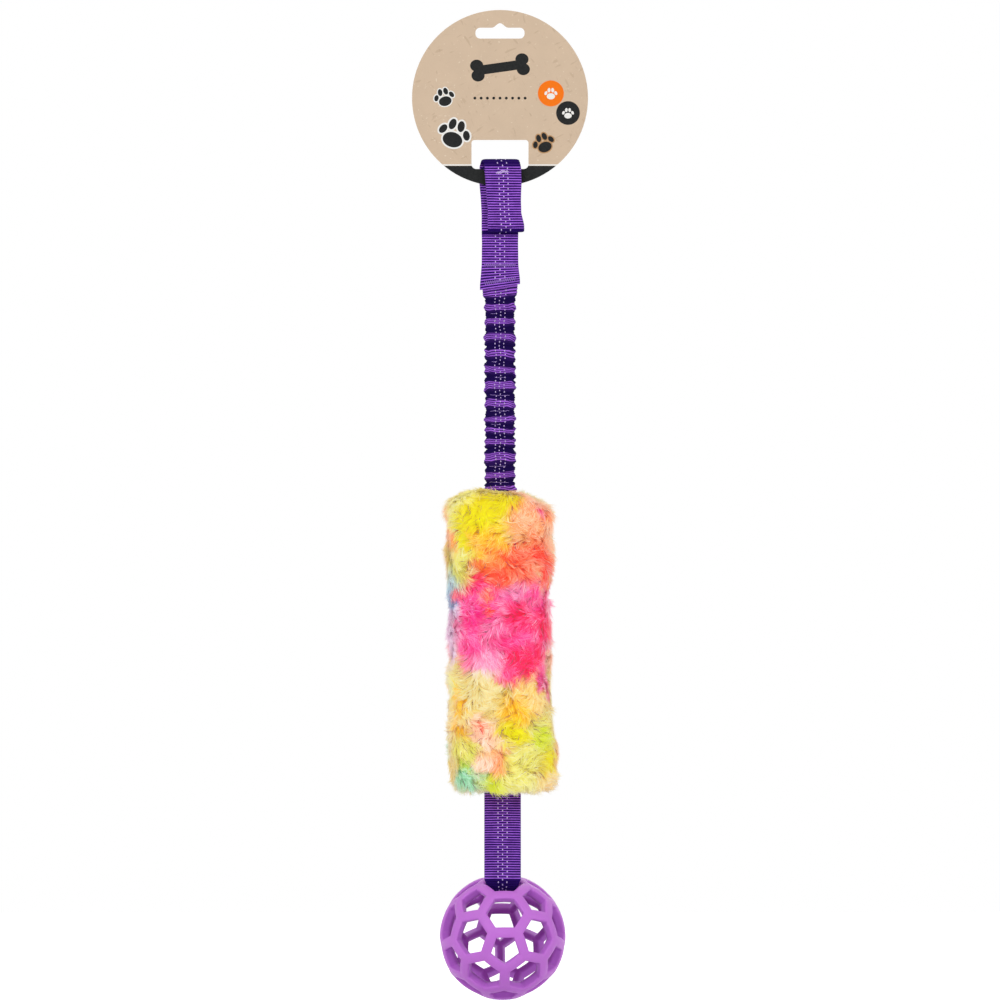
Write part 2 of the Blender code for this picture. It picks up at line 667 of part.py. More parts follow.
def clear_scene():
    """Removes whatever the file opened with."""
    for old in list(bpy.data.objects):
        bpy.data.objects.remove(old)


def main():
    """Builds the toy."""
    clear_scene()
    toy = bpy.data.collections.new("dog_tug_toy")
    cutters = bpy.data.collections.new("cutters")
    for collection in (toy, cutters):
        bpy.context.scene.collection.children.link(collection)
    webbing = material("webbing", VIOLET, 0.7)
    thread = material("thread", THREAD, 0.6)
    header_card(toy)
    handle_pieces = (
        handle_loop(toy, webbing),
        bartack("handle_bartack", HANDLE_END + SEAM_GRIP - BARTACK_HEIGHT, 0.0, thread, toy),
        bartack(
            "handle_end_bartack", HANDLE_END + BARTACK_HEIGHT + BARTACK_END_INSET, SEAM_TILT_SHARE, thread, toy
        ),
    )
    bungee_pieces = (bungee_elastic(toy), bungee_sleeve(toy))
    plush_pieces = (plush_cover(toy), plush_wadding(toy, cutters))
    handle = carry("handle_pivot", 0.0, BAND_TOP, handle_pieces, None, toy)
    bungee = carry("bungee_pivot", 0.0, BUNGEE_HINGE, bungee_pieces, handle, toy)
    plush = carry("plush_slide", 0.0, PLUSH_TOP, plush_pieces, bungee, toy)
    strap = carry("strap_pivot", 0.0, PLUSH_BOTTOM, (ball_strap(toy, webbing),), plush, toy)
    carry("ball_pivot", BALL_X, BALL_HINGE, (lattice_ball(toy),), strap, toy)
    bpy.context.view_layer.update()


main()
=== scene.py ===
"""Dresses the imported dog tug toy: card, webbing handle, gathered bungee, plush tube and lattice ball.

Metres, +Z up, the front at -Y and the origin at the crown of the card's hanging slot.
"""

import logging
import math
from dataclasses import dataclass, field
from enum import Enum

import bmesh
import bpy
import numpy as np
from bpy.types import Material, Node, NodeSocket, NodeTree, Object
from mathutils import Matrix, Vector
from mathutils.bvhtree import BVHTree


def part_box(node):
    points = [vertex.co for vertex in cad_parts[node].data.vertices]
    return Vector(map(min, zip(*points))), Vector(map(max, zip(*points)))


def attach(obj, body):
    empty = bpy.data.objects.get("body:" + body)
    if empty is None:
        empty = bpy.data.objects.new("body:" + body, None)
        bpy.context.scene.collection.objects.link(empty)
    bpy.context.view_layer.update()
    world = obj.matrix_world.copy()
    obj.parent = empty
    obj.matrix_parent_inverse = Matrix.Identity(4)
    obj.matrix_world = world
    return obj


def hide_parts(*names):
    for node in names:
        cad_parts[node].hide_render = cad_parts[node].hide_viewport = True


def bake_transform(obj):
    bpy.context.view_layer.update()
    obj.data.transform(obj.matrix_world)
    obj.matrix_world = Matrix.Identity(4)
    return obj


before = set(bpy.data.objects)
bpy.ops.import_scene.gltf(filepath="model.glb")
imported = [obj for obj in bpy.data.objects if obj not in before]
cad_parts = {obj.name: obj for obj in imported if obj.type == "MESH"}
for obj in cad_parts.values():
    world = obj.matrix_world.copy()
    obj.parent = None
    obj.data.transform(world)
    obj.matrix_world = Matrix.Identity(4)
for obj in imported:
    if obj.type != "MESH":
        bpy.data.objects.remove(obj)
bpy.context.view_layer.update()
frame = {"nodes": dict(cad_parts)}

LOG = logging.getLogger("tug_toy")
Array = np.ndarray
Numbers = tuple[float, ...]
MM = 0.001
ALONG_X = np.array((1.0, 0.0, 0.0))
TO_FRONT = np.array((0.0, -1.0, 0.0))

# The noise's whole numbers, which scatter its cells
NOISE_STEPS = (73856093, 19349663, 83492791)
NOISE_SEED_STEP = 7919
NOISE_SPREAD = 1274126177

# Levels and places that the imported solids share
BAND_TOP = -102.1 * MM
BAND_HEIGHT = 11.9 * MM
BOARD = 0.8 * MM
HANDLE_END = -184.7 * MM
SLEEVE_TOP = -185.0 * MM
SLEEVE_BOTTOM = -330.0 * MM
PLUSH_TOP = -326.8 * MM
PLUSH_BOTTOM = -538.2 * MM
BALL_PLACE = Vector((1.8 * MM, 0.0, -639.7 * MM))
PLY = 1.6 * MM
PLY_GAP = 0.3 * MM


class Body(Enum):
    """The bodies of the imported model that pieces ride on."""

    HANDLE = "handle"
    BUNGEE = "bungee"
    PLUSH = "plush"
    STRAP = "strap"
    BALL = "ball"


class Side(Enum):
    """The two faces of a strap."""

    OUTER = 1
    INNER = -1


class Dye(Enum):
    """The dyes of the tie-dyed pile, as linear red, green and blue."""

    LEMON = (0.89, 0.80, 0.0)
    PALE_LEMON = (0.90, 0.86, 0.28)
    LIME = (0.78, 0.84, 0.03)
    LEAF = (0.56, 0.76, 0.10)
    CREAM = (0.88, 0.74, 0.30)
    STRAW = (0.98, 0.74, 0.24)
    AMBER = (0.98, 0.62, 0.03)
    APRICOT = (1.0, 0.42, 0.07)
    PEACH = (1.0, 0.51, 0.24)
    CORAL = (1.0, 0.17, 0.08)
    RED = (0.98, 0.07, 0.045)
    HOT_PINK = (1.0, 0.04, 0.21)
    MAGENTA = (0.95, 0.015, 0.34)
    ROSE = (0.98, 0.11, 0.41)
    LIGHT_ROSE = (1.0, 0.34, 0.58)
    ORCHID_PINK = (0.92, 0.34, 0.60)
    LILAC = (0.90, 0.71, 0.86)
    BLUSH = (1.0, 0.73, 0.54)
    SKY = (0.24, 0.54, 0.80)
    PALE_SKY = (0.70, 0.84, 0.88)
    MINT = (0.50, 0.83, 0.60)
    PALE_MINT = (0.62, 0.80, 0.52)


# Noise, meshes and nodes


def lattice_noise(points: Array, size: float, seed: int) -> Array:
    """Smooth repeatable noise.

    Args:
        points: Places, one row each.
        size: The width of a lump.
        seed: Picks the pattern.

    Returns:
        One value from -1 to 1 for each place.
    """
    scaled = points / size
    cell = np.floor(scaled).astype(np.int64)
    share = scaled - cell
    share = share * share * (3 - 2 * share)
    total = np.zeros(len(points))
    for corner in np.ndindex(2, 2, 2):
        offset = np.array(corner)
        mixed = (cell + offset) @ np.array(NOISE_STEPS, np.int64) + seed * NOISE_SEED_STEP
        mixed = (mixed ^ (mixed >> 13)) * NOISE_SPREAD
        value = ((mixed ^ (mixed >> 16)) & 0xFFFF) / 32767.5 - 1.0
        total += value * np.prod(np.where(offset, share, 1.0 - share), axis=1)
    return total


def smoothstep(value: Array) -> Array:
    """Eases values between 0 and 1, and holds them there beyond."""
    held = np.clip(value, 0.0, 1.0)
    return held * held * (3 - 2 * held)


def hump(value: Array, low: float, rise: float, high: float, fall: float) -> Array:
    """0 up to low, eased to 1 over the rise, and eased back to 0 over the fall before high."""
    return smoothstep((value - low) / rise) * smoothstep((high - value) / fall)


def unit(vectors: Array) -> Array:
    """The vectors, each at length 1."""
    return vectors / np.maximum(np.linalg.norm(vectors, axis=-1, keepdims=True), 1e-12)


def squared(wave: Array, power: float | Array) -> Array:
    """A sine or cosine raised to a power with its sign kept, which squares off a round section."""
    return np.sign(wave) * np.abs(wave) ** power


def turns_round(count: int) -> Array:
    """Angles an even step apart, once round."""
    return np.arange(count) * 2 * math.pi / count


def crest(phase: Array, share: float) -> Array:
    """How far up a rib each phase is: 1 on the crest, in the middle of each turn, and 0 in the gap.

    Args:
        phase: Turns of the rib pattern.
        share: The share of a turn that the rib takes up.
    """
    away = np.abs(phase - np.floor(phase) - 0.5) * 2 / share
    return np.sqrt(np.clip(1.0 - away ** 2.4, 0.0, 1.0))


def travelled(points: Array) -> Array:
    """The length of a line from its start to each of its points."""
    return np.concatenate(([0.0], np.cumsum(np.linalg.norm(np.diff(points, axis=0), axis=1))))


def sampled(table: Array, lengths: Array, places: Array, rounds: int) -> Array:
    """A table read at new places and eased.

    Args:
        table: Its rows.
        lengths: The place of each row.
        places: The new places.
        rounds: How often each row is averaged with its neighbours.

    Returns:
        One row for each new place.
    """
    rows = np.stack([np.interp(places, lengths, column) for column in table.T], axis=1)
    for _ in range(rounds):
        rows[1:-1] = (rows[:-2] + 2 * rows[1:-1] + rows[2:]) / 4
    return rows


def placed(name: str, data: bpy.types.ID) -> Object:
    """An object that holds the data, linked to the scene."""
    made = bpy.data.objects.new(name, data)
    bpy.context.scene.collection.objects.link(made)
    return made


def mesh_object(
    name: str, points: Array, faces: list[Array], marks: dict[str, Array] | None = None
) -> Object:
    """Makes an object from arrays.

    Args:
        name: The piece's name.
        points: Its vertices, in rows of any depth.
        faces: Arrays of corner numbers, each of faces with the same number of corners.
        marks: Values or vectors for each vertex, by attribute name.

    Returns:
        The object, linked to the scene and shaded smooth.
    """
    mesh = bpy.data.meshes.new(name)
    loops = np.concatenate([part.ravel() for part in faces]).astype(np.int32)
    sizes = np.concatenate([np.full(len(part), part.shape[1]) for part in faces]).astype(np.int32)
    mesh.vertices.add(points.size // 3)
    mesh.vertices.foreach_set("co", points.astype(np.float32).ravel())
    mesh.loops.add(len(loops))
    mesh.loops.foreach_set("vertex_index", loops)
    mesh.polygons.add(len(sizes))
    mesh.polygons.foreach_set("loop_start", np.concatenate(([0], np.cumsum(sizes)[:-1])).astype(np.int32))
    mesh.update(calc_edges=True)
    mesh.validate()
    for mark, values in (marks or {}).items():
        kind, key = ("FLOAT", "value") if values.ndim == 1 else ("FLOAT_VECTOR", "vector")
        layer = mesh.attributes.new(mark, kind, "POINT")
        layer.data.foreach_set(key, values.astype(np.float32).ravel())
    mesh.shade_smooth()
    return placed(name, mesh)


def tube_faces(rows: int, around: int) -> Array:
    """Quads of a tube of rows of around points each, facing out when each row runs right-handed up."""
    row, column = np.meshgrid(np.arange(rows - 1), np.arange(around), indexing="ij")
    start = (row * around + column).ravel()
    beside = (row * around + (column + 1) % around).ravel()
    return np.stack([start, beside, beside + around, start + around], axis=1)


class NodeSheet:
    """A node tree that is being wired."""

    def __init__(self, tree: NodeTree) -> None:
        """Args: tree is the tree to wire."""
        self.tree = tree

    def add(self, kind: str, inputs: dict | None = None, **settings: object) -> Node:
        """Adds a node.

        Args:
            kind: The node's type without its ShaderNode prefix.
            inputs: A value or an output socket for each input, by name or number.
            settings: The node's own properties.

        Returns:
            The node.
        """
        node = self.tree.nodes.new("ShaderNode" + kind)
        for key, value in settings.items():
            setattr(node, key, value)
        return self.fill(node, inputs or {})

    def fill(self, node: Node, inputs: dict) -> Node:
        """Links an output to each input of a node, or sets its value; a colour gets a full alpha."""
        for key, value in inputs.items():
            socket = node.inputs[key]
            if isinstance(value, NodeSocket):
                self.tree.links.new(value, socket)
            else:
                socket.default_value = (*value, 1.0) if socket.type == "RGBA" else value
        return node

    def math(self, operation: str, *values: object) -> NodeSocket:
        """The output of a Math node."""
        return self.add("Math", dict(enumerate((*values, 0.0, 0.0)[:3])), operation=operation).outputs[0]

    def vector(self, operation: str, *values: object) -> NodeSocket:
        """The output of a Vector Math node: a value for a distance or a length, else a vector."""
        node = self.add("VectorMath", dict(enumerate(values)), operation=operation)
        return node.outputs["Value" if operation in ("DISTANCE", "LENGTH") else "Vector"]

    def scaled(self, vector: NodeSocket, scale: object) -> NodeSocket:
        """A vector times a number."""
        return self.add("VectorMath", {0: vector, "Scale": scale}, operation="SCALE").outputs[0]

    def turned(self, vector: NodeSocket, angle: object) -> NodeSocket:
        """A vector turned round Y."""
        return self.add("VectorRotate", {"Vector": vector, "Angle": angle}, rotation_type="Y_AXIS").outputs[0]

    def stretched(self, vector: NodeSocket, share: float) -> NodeSocket:
        """A texture's place, drawn out along X."""
        return self.add("Mapping", {"Vector": vector, "Scale": (share, 1.0, 1.0)}).outputs[0]

    def mark(self, name: str, output: str = "Fac") -> NodeSocket:
        """One of the mesh's marks."""
        return self.add("Attribute", attribute_name=name).outputs[output]

    def noise(self, place: NodeSocket, scale: float, detail: float = 3.0, output: str = "Fac") -> NodeSocket:
        """A noise texture's output."""
        return self.add("TexNoise", {"Vector": place, "Scale": scale, "Detail": detail}).outputs[output]

    def span(
        self, value: object, low: object, high: object, start: float = 0.0, end: float = 1.0
    ) -> NodeSocket:
        """A value between low and high, eased to lie between start and end."""
        return self.add(
            "MapRange",
            {"Value": value, "From Min": low, "From Max": high, "To Min": start, "To Max": end},
            interpolation_type="SMOOTHSTEP",
        ).outputs["Result"]

    def mix(self, share: object, first: object, second: object, blend: str = "MIX") -> NodeSocket:
        """A mix of two colours."""
        return self.add("Mix", {0: share, 6: first, 7: second}, data_type="RGBA", blend_type=blend).outputs[2]

    def shaded(self, tone: NodeSocket, shade: NodeSocket) -> NodeSocket:
        """A colour times a value."""
        grey = self.add("CombineColor", {0: shade, 1: shade, 2: shade})
        return self.mix(1.0, tone, grey.outputs[0], "MULTIPLY")

    def effect(self, group: NodeTree, inputs: dict) -> Node:
        """A node that holds a shared effect."""
        node = self.tree.nodes.new("ShaderNodeGroup")
        node.node_tree = group
        return self.fill(node, inputs)

    def seen(self) -> NodeSocket:
        """1 for rays that show a thing, directly or by a mirror or glass, and 0 for rays that light it."""
        path = self.add("LightPath").outputs
        straight = self.math("MAXIMUM", path["Is Camera Ray"], path["Is Glossy Ray"])
        return self.math("MAXIMUM", straight, path["Is Transmission Ray"])


class MaterialSheet(NodeSheet):
    """A material that is being wired, with its Principled BSDF."""

    def __init__(self, name: str) -> None:
        """Args: name is the material's name."""
        self.made = bpy.data.materials.new(name)
        self.made.use_nodes = True
        super().__init__(self.made.node_tree)
        self.shader = self.tree.nodes["Principled BSDF"]

    def here(self) -> NodeSocket:
        """The place on the piece."""
        return self.add("TexCoord").outputs["Object"]

    def bump(self, height: NodeSocket, distance: float, strength: float = 1.0) -> NodeSocket:
        """The normal of a height."""
        return self.add("Bump", {"Height": height, "Distance": distance, "Strength": strength}).outputs[0]

    def coat(self, inputs: dict) -> Material:
        """Feeds the shader, and returns the material."""
        self.fill(self.shader, inputs)
        return self.made


def times(tone: Numbers, share: float) -> Numbers:
    """A colour made darker or lighter."""
    return tuple(min(1.0, share * value) for value in tone)


class GroupSheet(NodeSheet):
    """A shared effect that is being wired, with its inputs in given."""

    def __init__(self, name: str, inputs: dict[str, str], outputs: dict[str, str]) -> None:
        """Starts the effect.

        Args:
            name: The group's name.
            inputs: The type of each input, by name.
            outputs: The type of each output, by name.
        """
        super().__init__(bpy.data.node_groups.new(name, "ShaderNodeTree"))
        for way, sockets in (("INPUT", inputs), ("OUTPUT", outputs)):
            for key, kind in sockets.items():
                self.tree.interface.new_socket(name=key, in_out=way, socket_type="NodeSocket" + kind)
        self.given = self.tree.nodes.new("NodeGroupInput").outputs
        self.out = self.tree.nodes.new("NodeGroupOutput")

    def give(self, outputs: dict[str, NodeSocket]) -> NodeTree:
        """Feeds the effect's outputs, and returns it."""
        self.fill(self.out, outputs)
        return self.tree

    def local(self) -> NodeSocket:
        """The place from the motif's centre, turned with it."""
        away = self.vector("SUBTRACT", self.given["Place"], self.given["Centre"])
        return self.turned(away, self.given["Turn"])


class Effects:
    """The shader effects that several materials share, each built once."""

    def __init__(self) -> None:
        """Builds every effect."""
        self.yarn = self._yarn()
        self.dye = self._dye()
        self.blot = self._blot()
        self.paw = self._paw()

    def filaments(
        self, sheet: NodeSheet, place: NodeSocket, fineness: float, contrast: float
    ) -> tuple[NodeSocket, NodeSocket]:
        """Lays the yarn effect into a material.

        Args:
            sheet: The material's sheet.
            place: The place on the piece.
            fineness: How many filaments there are.
            contrast: How much they differ in tone.

        Returns:
            The shade for the colour and the height for the bump.
        """
        given = {"Place": place, "Fineness": fineness, "Contrast": contrast}
        node = sheet.effect(self.yarn, given)
        return node.outputs["Shade"], node.outputs["Height"]

    def dyed(self, sheet: NodeSheet, place: NodeSocket) -> NodeSocket:
        """The tie-dye's colour at a place."""
        return sheet.effect(self.dye, {"Place": place}).outputs["Color"]

    def _yarn(self) -> NodeTree:
        """Fine filaments that run along X: a shade for the colour and a height for the bump."""
        sheet = GroupSheet(
            "yarn_filaments", {"Place": "Vector", "Fineness": "Float", "Contrast": "Float"},
            {"Shade": "Float", "Height": "Float"},
        )
        given = sheet.given
        fine = sheet.add("TexNoise", {
            "Vector": sheet.stretched(given["Place"], 0.16), "Detail": 2.0, "Roughness": 0.6,
            "Scale": given["Fineness"],
        }).outputs["Fac"]
        patchy = sheet.math("SUBTRACT", sheet.noise(given["Place"], 160.0, 2.0), 0.5)
        both = sheet.math("ADD", sheet.math("SUBTRACT", fine, 0.5), sheet.math("MULTIPLY", patchy, 0.8))
        return sheet.give({"Shade": sheet.math("MULTIPLY_ADD", both, given["Contrast"], 1.0), "Height": fine})

    def _dye(self) -> NodeTree:
        """The tie-dye: blots of dye that run into each other over a straw ground."""
        sheet = GroupSheet("tie_dye", {"Place": "Vector"}, {"Color": "Color"})
        wander = sheet.noise(sheet.given["Place"], 85.0, 3.0, "Color")
        drift = sheet.scaled(sheet.vector("SUBTRACT", wander, (0.5, 0.5, 0.5)), 0.020)
        place = sheet.vector("ADD", sheet.given["Place"], drift)
        shade: object = Dye.CREAM.value
        for x, y, z, radius, dye in DYE_BLOTS:
            far = sheet.vector("DISTANCE", place, (x * MM, y * MM, z * MM))
            cover = sheet.span(far, radius * 1.30 * MM, radius * 0.55 * MM)
            shade = sheet.mix(cover, shade, dye.value)
        return sheet.give({"Color": shade})

    def _blot(self) -> NodeTree:
        """An upright ellipse of ink on the card's face, with crisp edges."""
        sheet = GroupSheet(
            "ink_ellipse", {"Place": "Vector", "Centre": "Vector", "Size": "Vector", "Turn": "Float"},
            {"Mask": "Float"},
        )
        shares = sheet.vector("DIVIDE", sheet.local(), sheet.given["Size"])
        reach = sheet.vector("LENGTH", sheet.vector("MULTIPLY", shares, (1.0, 0.0, 1.0)))
        return sheet.give({"Mask": sheet.span(reach, 1.02, 0.98)})

    def _paw(self) -> NodeTree:
        """A paw print of one pad and four toes, grown by an outline."""
        sheet = GroupSheet(
            "ink_paw",
            {"Place": "Vector", "Centre": "Vector", "Size": "Float", "Turn": "Float", "Outline": "Float"},
            {"Mask": "Float"},
        )
        outline = sheet.given["Outline"]
        local = sheet.scaled(sheet.local(), sheet.math("DIVIDE", 1.0, sheet.given["Size"]))
        total: object = 0.0
        for x, z, wide, high, lean in PAW_PADS:
            grown = {0: sheet.math("ADD", wide, outline), 1: 1.0, 2: sheet.math("ADD", high, outline)}
            pad = sheet.effect(self.blot, {
                "Place": local, "Centre": (x, 0.0, z), "Size": sheet.add("CombineXYZ", grown).outputs[0],
                "Turn": lean,
            })
            total = sheet.math("MAXIMUM", total, pad.outputs["Mask"])
        return sheet.give({"Mask": total})


# A paw print's pads: place, half width, half height and lean, in shares of its size
PAW_PADS = (
    (0.0, -0.34, 0.56, 0.42, 0.0),
    (-0.68, 0.10, 0.19, 0.28, -0.45),
    (-0.25, 0.50, 0.20, 0.31, -0.12),
    (0.25, 0.50, 0.20, 0.31, 0.12),
    (0.68, 0.10, 0.19, 0.28, 0.45),
)

# The dye blots: place in millimetres, radius and dye. Three broad pink grounds come first, then the
# shoulders and the front from the top down, then the sides and the back
DYE_BLOTS = (
    (-13, -24, -418, 33, Dye.ROSE), (18, -24, -424, 33, Dye.LIGHT_ROSE), (0, 22, -412, 40, Dye.LIGHT_ROSE),
    (-20, -12, -330, 17, Dye.PALE_LEMON), (20, -12, -333, 16, Dye.BLUSH),
    (-33, -16, -341, 17, Dye.PALE_LEMON), (-9, -27, -344, 22, Dye.LEMON), (4, -29, -336, 14, Dye.LEMON),
    (-17, -26, -362, 14, Dye.LEMON), (24, -25, -344, 18, Dye.PEACH), (34, -14, -352, 14, Dye.PEACH),
    (31, -16, -339, 5, Dye.ROSE), (-36, -10, -356, 9, Dye.PEACH), (-32, -16, -363, 6, Dye.APRICOT),
    (-5, -28, -362, 13, Dye.AMBER), (-31, -18, -377, 13, Dye.PALE_LEMON), (-6, -28, -377, 16, Dye.APRICOT),
    (12, -28, -370, 11, Dye.CORAL), (27, -23, -371, 14, Dye.CORAL), (26, -23, -369, 8, Dye.RED),
    (34, -14, -383, 10, Dye.RED), (-6, -28, -388, 13, Dye.CORAL), (13, -28, -386, 13, Dye.CORAL),
    (-16, -27, -391, 9, Dye.RED), (-37, -8, -390, 10, Dye.PALE_SKY), (37, -4, -400, 11, Dye.ROSE),
    (-22, -25, -396, 12, Dye.HOT_PINK), (-25, -23, -410, 16, Dye.ROSE), (-22, -25, -419, 9, Dye.MAGENTA),
    (-6, -28, -403, 14, Dye.ROSE), (-9, -28, -399, 8, Dye.CORAL), (-4, -28, -408, 5, Dye.CORAL),
    (16, -28, -400, 11, Dye.ORCHID_PINK), (-38, -6, -413, 9, Dye.LILAC), (-37, -9, -401, 9, Dye.SKY),
    (28, -22, -397, 10, Dye.ROSE), (12, -28, -409, 7, Dye.MAGENTA), (16, -28, -416, 13, Dye.HOT_PINK),
    (-13, -27, -416, 10, Dye.MAGENTA), (33, -15, -409, 10, Dye.ROSE), (34, -14, -422, 11, Dye.HOT_PINK),
    (-21, -25, -428, 14, Dye.ROSE), (-4, -28, -425, 12, Dye.LIGHT_ROSE), (12, -28, -436, 19, Dye.ROSE),
    (11, -28, -446, 15, Dye.HOT_PINK), (27, -23, -443, 13, Dye.HOT_PINK),
    (-11, -28, -443, 13, Dye.LIGHT_ROSE), (-38, -3, -428, 15, Dye.LILAC), (-35, -12, -446, 10, Dye.LILAC),
    (-13, -27, -453, 8, Dye.LILAC), (-30, -19, -447, 8, Dye.CREAM), (34, -14, -459, 9, Dye.ROSE),
    (-33, -15, -455, 10, Dye.CREAM), (-14, -27, -464, 15, Dye.CREAM), (22, -26, -468, 14, Dye.STRAW),
    (-34, -14, -469, 12, Dye.PALE_LEMON), (-30, -19, -474, 8, Dye.AMBER), (11, -28, -478, 13, Dye.AMBER),
    (-5, -28, -479, 11, Dye.CREAM), (37, -8, -468, 8, Dye.LIGHT_ROSE), (-33, -15, -487, 11, Dye.STRAW),
    (-29, -20, -495, 5, Dye.AMBER), (-12, -28, -495, 14, Dye.BLUSH), (-12, -28, -490, 4, Dye.CORAL),
    (9, -28, -495, 11, Dye.LEMON), (7, -29, -502, 4, Dye.APRICOT), (29, -21, -492, 13, Dye.PALE_LEMON),
    (28, -22, -503, 12, Dye.LIME), (-3, -28, -516, 11, Dye.PEACH), (-13, -27, -515, 8, Dye.BLUSH),
    (14, -28, -515, 13, Dye.PALE_LEMON), (33, -15, -514, 11, Dye.LEMON),
    (-27, -22, -508, 11, Dye.PALE_LEMON), (-26, -22, -520, 10, Dye.LEAF), (-31, -18, -530, 11, Dye.MINT),
    (-18, -26, -528, 9, Dye.PALE_MINT), (-5, -28, -532, 11, Dye.LIME), (7, -28, -530, 11, Dye.PALE_LEMON),
    (20, -26, -534, 10, Dye.PALE_LEMON), (35, -12, -530, 11, Dye.STRAW), (40, -2, -350, 11, Dye.BLUSH),
    (32, 16, -352, 14, Dye.LEMON), (-38, 6, -346, 14, Dye.PEACH), (0, 27, -344, 24, Dye.PALE_LEMON),
    (22, 24, -362, 17, Dye.LEMON), (-22, 24, -374, 20, Dye.CORAL), (38, 4, -380, 13, Dye.APRICOT),
    (6, 27, -392, 21, Dye.HOT_PINK), (36, 12, -398, 15, Dye.LIGHT_ROSE), (-34, 14, -402, 16, Dye.SKY),
    (-12, 26, -420, 20, Dye.ROSE), (24, 22, -426, 19, Dye.HOT_PINK), (38, 4, -440, 14, Dye.BLUSH),
    (-30, 18, -440, 12, Dye.MAGENTA), (-6, 27, -452, 20, Dye.AMBER), (22, 24, -456, 14, Dye.LIGHT_ROSE),
    (-30, 18, -470, 17, Dye.STRAW), (30, 18, -478, 18, Dye.LIME), (2, 27, -488, 17, Dye.BLUSH),
    (-34, 14, -504, 15, Dye.PALE_MINT), (38, 4, -510, 13, Dye.AMBER), (-8, 27, -522, 18, Dye.MINT),
    (22, 24, -530, 16, Dye.PALE_LEMON),
)


@dataclass(frozen=True)
class RibbedWebbing:
    """Nylon webbing: bright ribs, with painted shade in the gaps between them."""

    # bright and shaded are lit and shaded copies of the colour, and ground is the painted shade in the rib
    # gaps
    bright: Numbers = (0.385, 0.130, 0.76)
    shaded: Numbers = (0.085, 0.008, 0.29)
    ground: Numbers = (0.014, 0.0, 0.095)
    roughness: float = 0.5
    rib_edge: tuple[float, float] = (0.38, 0.84)
    fineness: float = 2600.0
    contrast: float = 0.55

    def make(self, effects: Effects, name: str) -> Material:
        """Builds the material, which reads the rib mark and the painted light mark of the mesh."""
        sheet = MaterialSheet(name)
        rib = sheet.mark("rib")
        shade, height = effects.filaments(sheet, sheet.here(), self.fineness, self.contrast)
        # Painted light: the painted light mark mixes the shaded and the bright colour, and low rib marks take
        # the painted shade of the gaps
        body = sheet.mix(sheet.mark("painted_light"), self.shaded, self.bright)
        woven = sheet.mix(sheet.span(rib, *self.rib_edge), self.ground, body)
        return sheet.coat({
            "Base Color": sheet.shaded(woven, shade),
            "Roughness": sheet.span(rib, 0.2, 0.9, 0.85, self.roughness),
            "Normal": sheet.bump(height, 0.00012, 0.5),
            "Specular IOR Level": 0.1, "Sheen Weight": 0.04, "Sheen Tint": (0.75, 0.6, 1.0),
        })


@dataclass(frozen=True)
class TwistedThread:
    """Sewing or tracer thread with its twist."""

    tone: Numbers
    roughness: float = 0.4
    sheen: float = 0.2
    fineness: float = 3400.0
    contrast: float = 0.6
    twist_scale: float = 620.0
    valley: float = 0.45

    def make(self, effects: Effects, name: str) -> Material:
        """Builds the material."""
        sheet = MaterialSheet(name)
        place = sheet.here()
        shade, height = effects.filaments(sheet, place, self.fineness, self.contrast)
        given = {"Vector": place, "Scale": self.twist_scale, "Distortion": 0.6}
        twist = sheet.add("TexWave", given, bands_direction="DIAGONAL").outputs["Fac"]
        # Painted shade in the grooves of the twist
        low = sheet.span(twist, 0.1, 0.8, self.valley, 0.0)
        dimmed = sheet.mix(low, self.tone, times(self.tone, 0.45))
        return sheet.coat({
            "Base Color": sheet.shaded(dimmed, shade),
            "Roughness": sheet.span(height, 0.2, 0.8, self.roughness, 0.7),
            "Normal": sheet.bump(twist, 0.0001, 0.4), "Sheen Weight": self.sheen,
        })


@dataclass(frozen=True)
class BraidedElastic:
    """White braided elastic with lengthwise rubber cores."""

    tone: Numbers = (0.78, 0.77, 0.74)
    fineness: float = 2200.0
    contrast: float = 0.4
    core_scale: float = 190.0

    def make(self, effects: Effects) -> Material:
        """Builds the material."""
        sheet = MaterialSheet("braided_elastic")
        place = sheet.here()
        _, height = effects.filaments(sheet, place, self.fineness, self.contrast)
        given = {"Vector": place, "Scale": self.core_scale, "Distortion": 0.2}
        cores = sheet.add("TexWave", given, bands_direction="X").outputs["Fac"]
        # Painted shade in the grooves between the cores
        return sheet.coat({
            "Base Color": sheet.mix(sheet.span(cores, 0.1, 0.7, 0.5, 0.0), self.tone, times(self.tone, 0.55)),
            "Roughness": sheet.span(height, 0.2, 0.8, 0.6, 0.85),
            "Normal": sheet.bump(sheet.math("ADD", cores, sheet.math("MULTIPLY", height, 0.4)), 0.0003),
        })


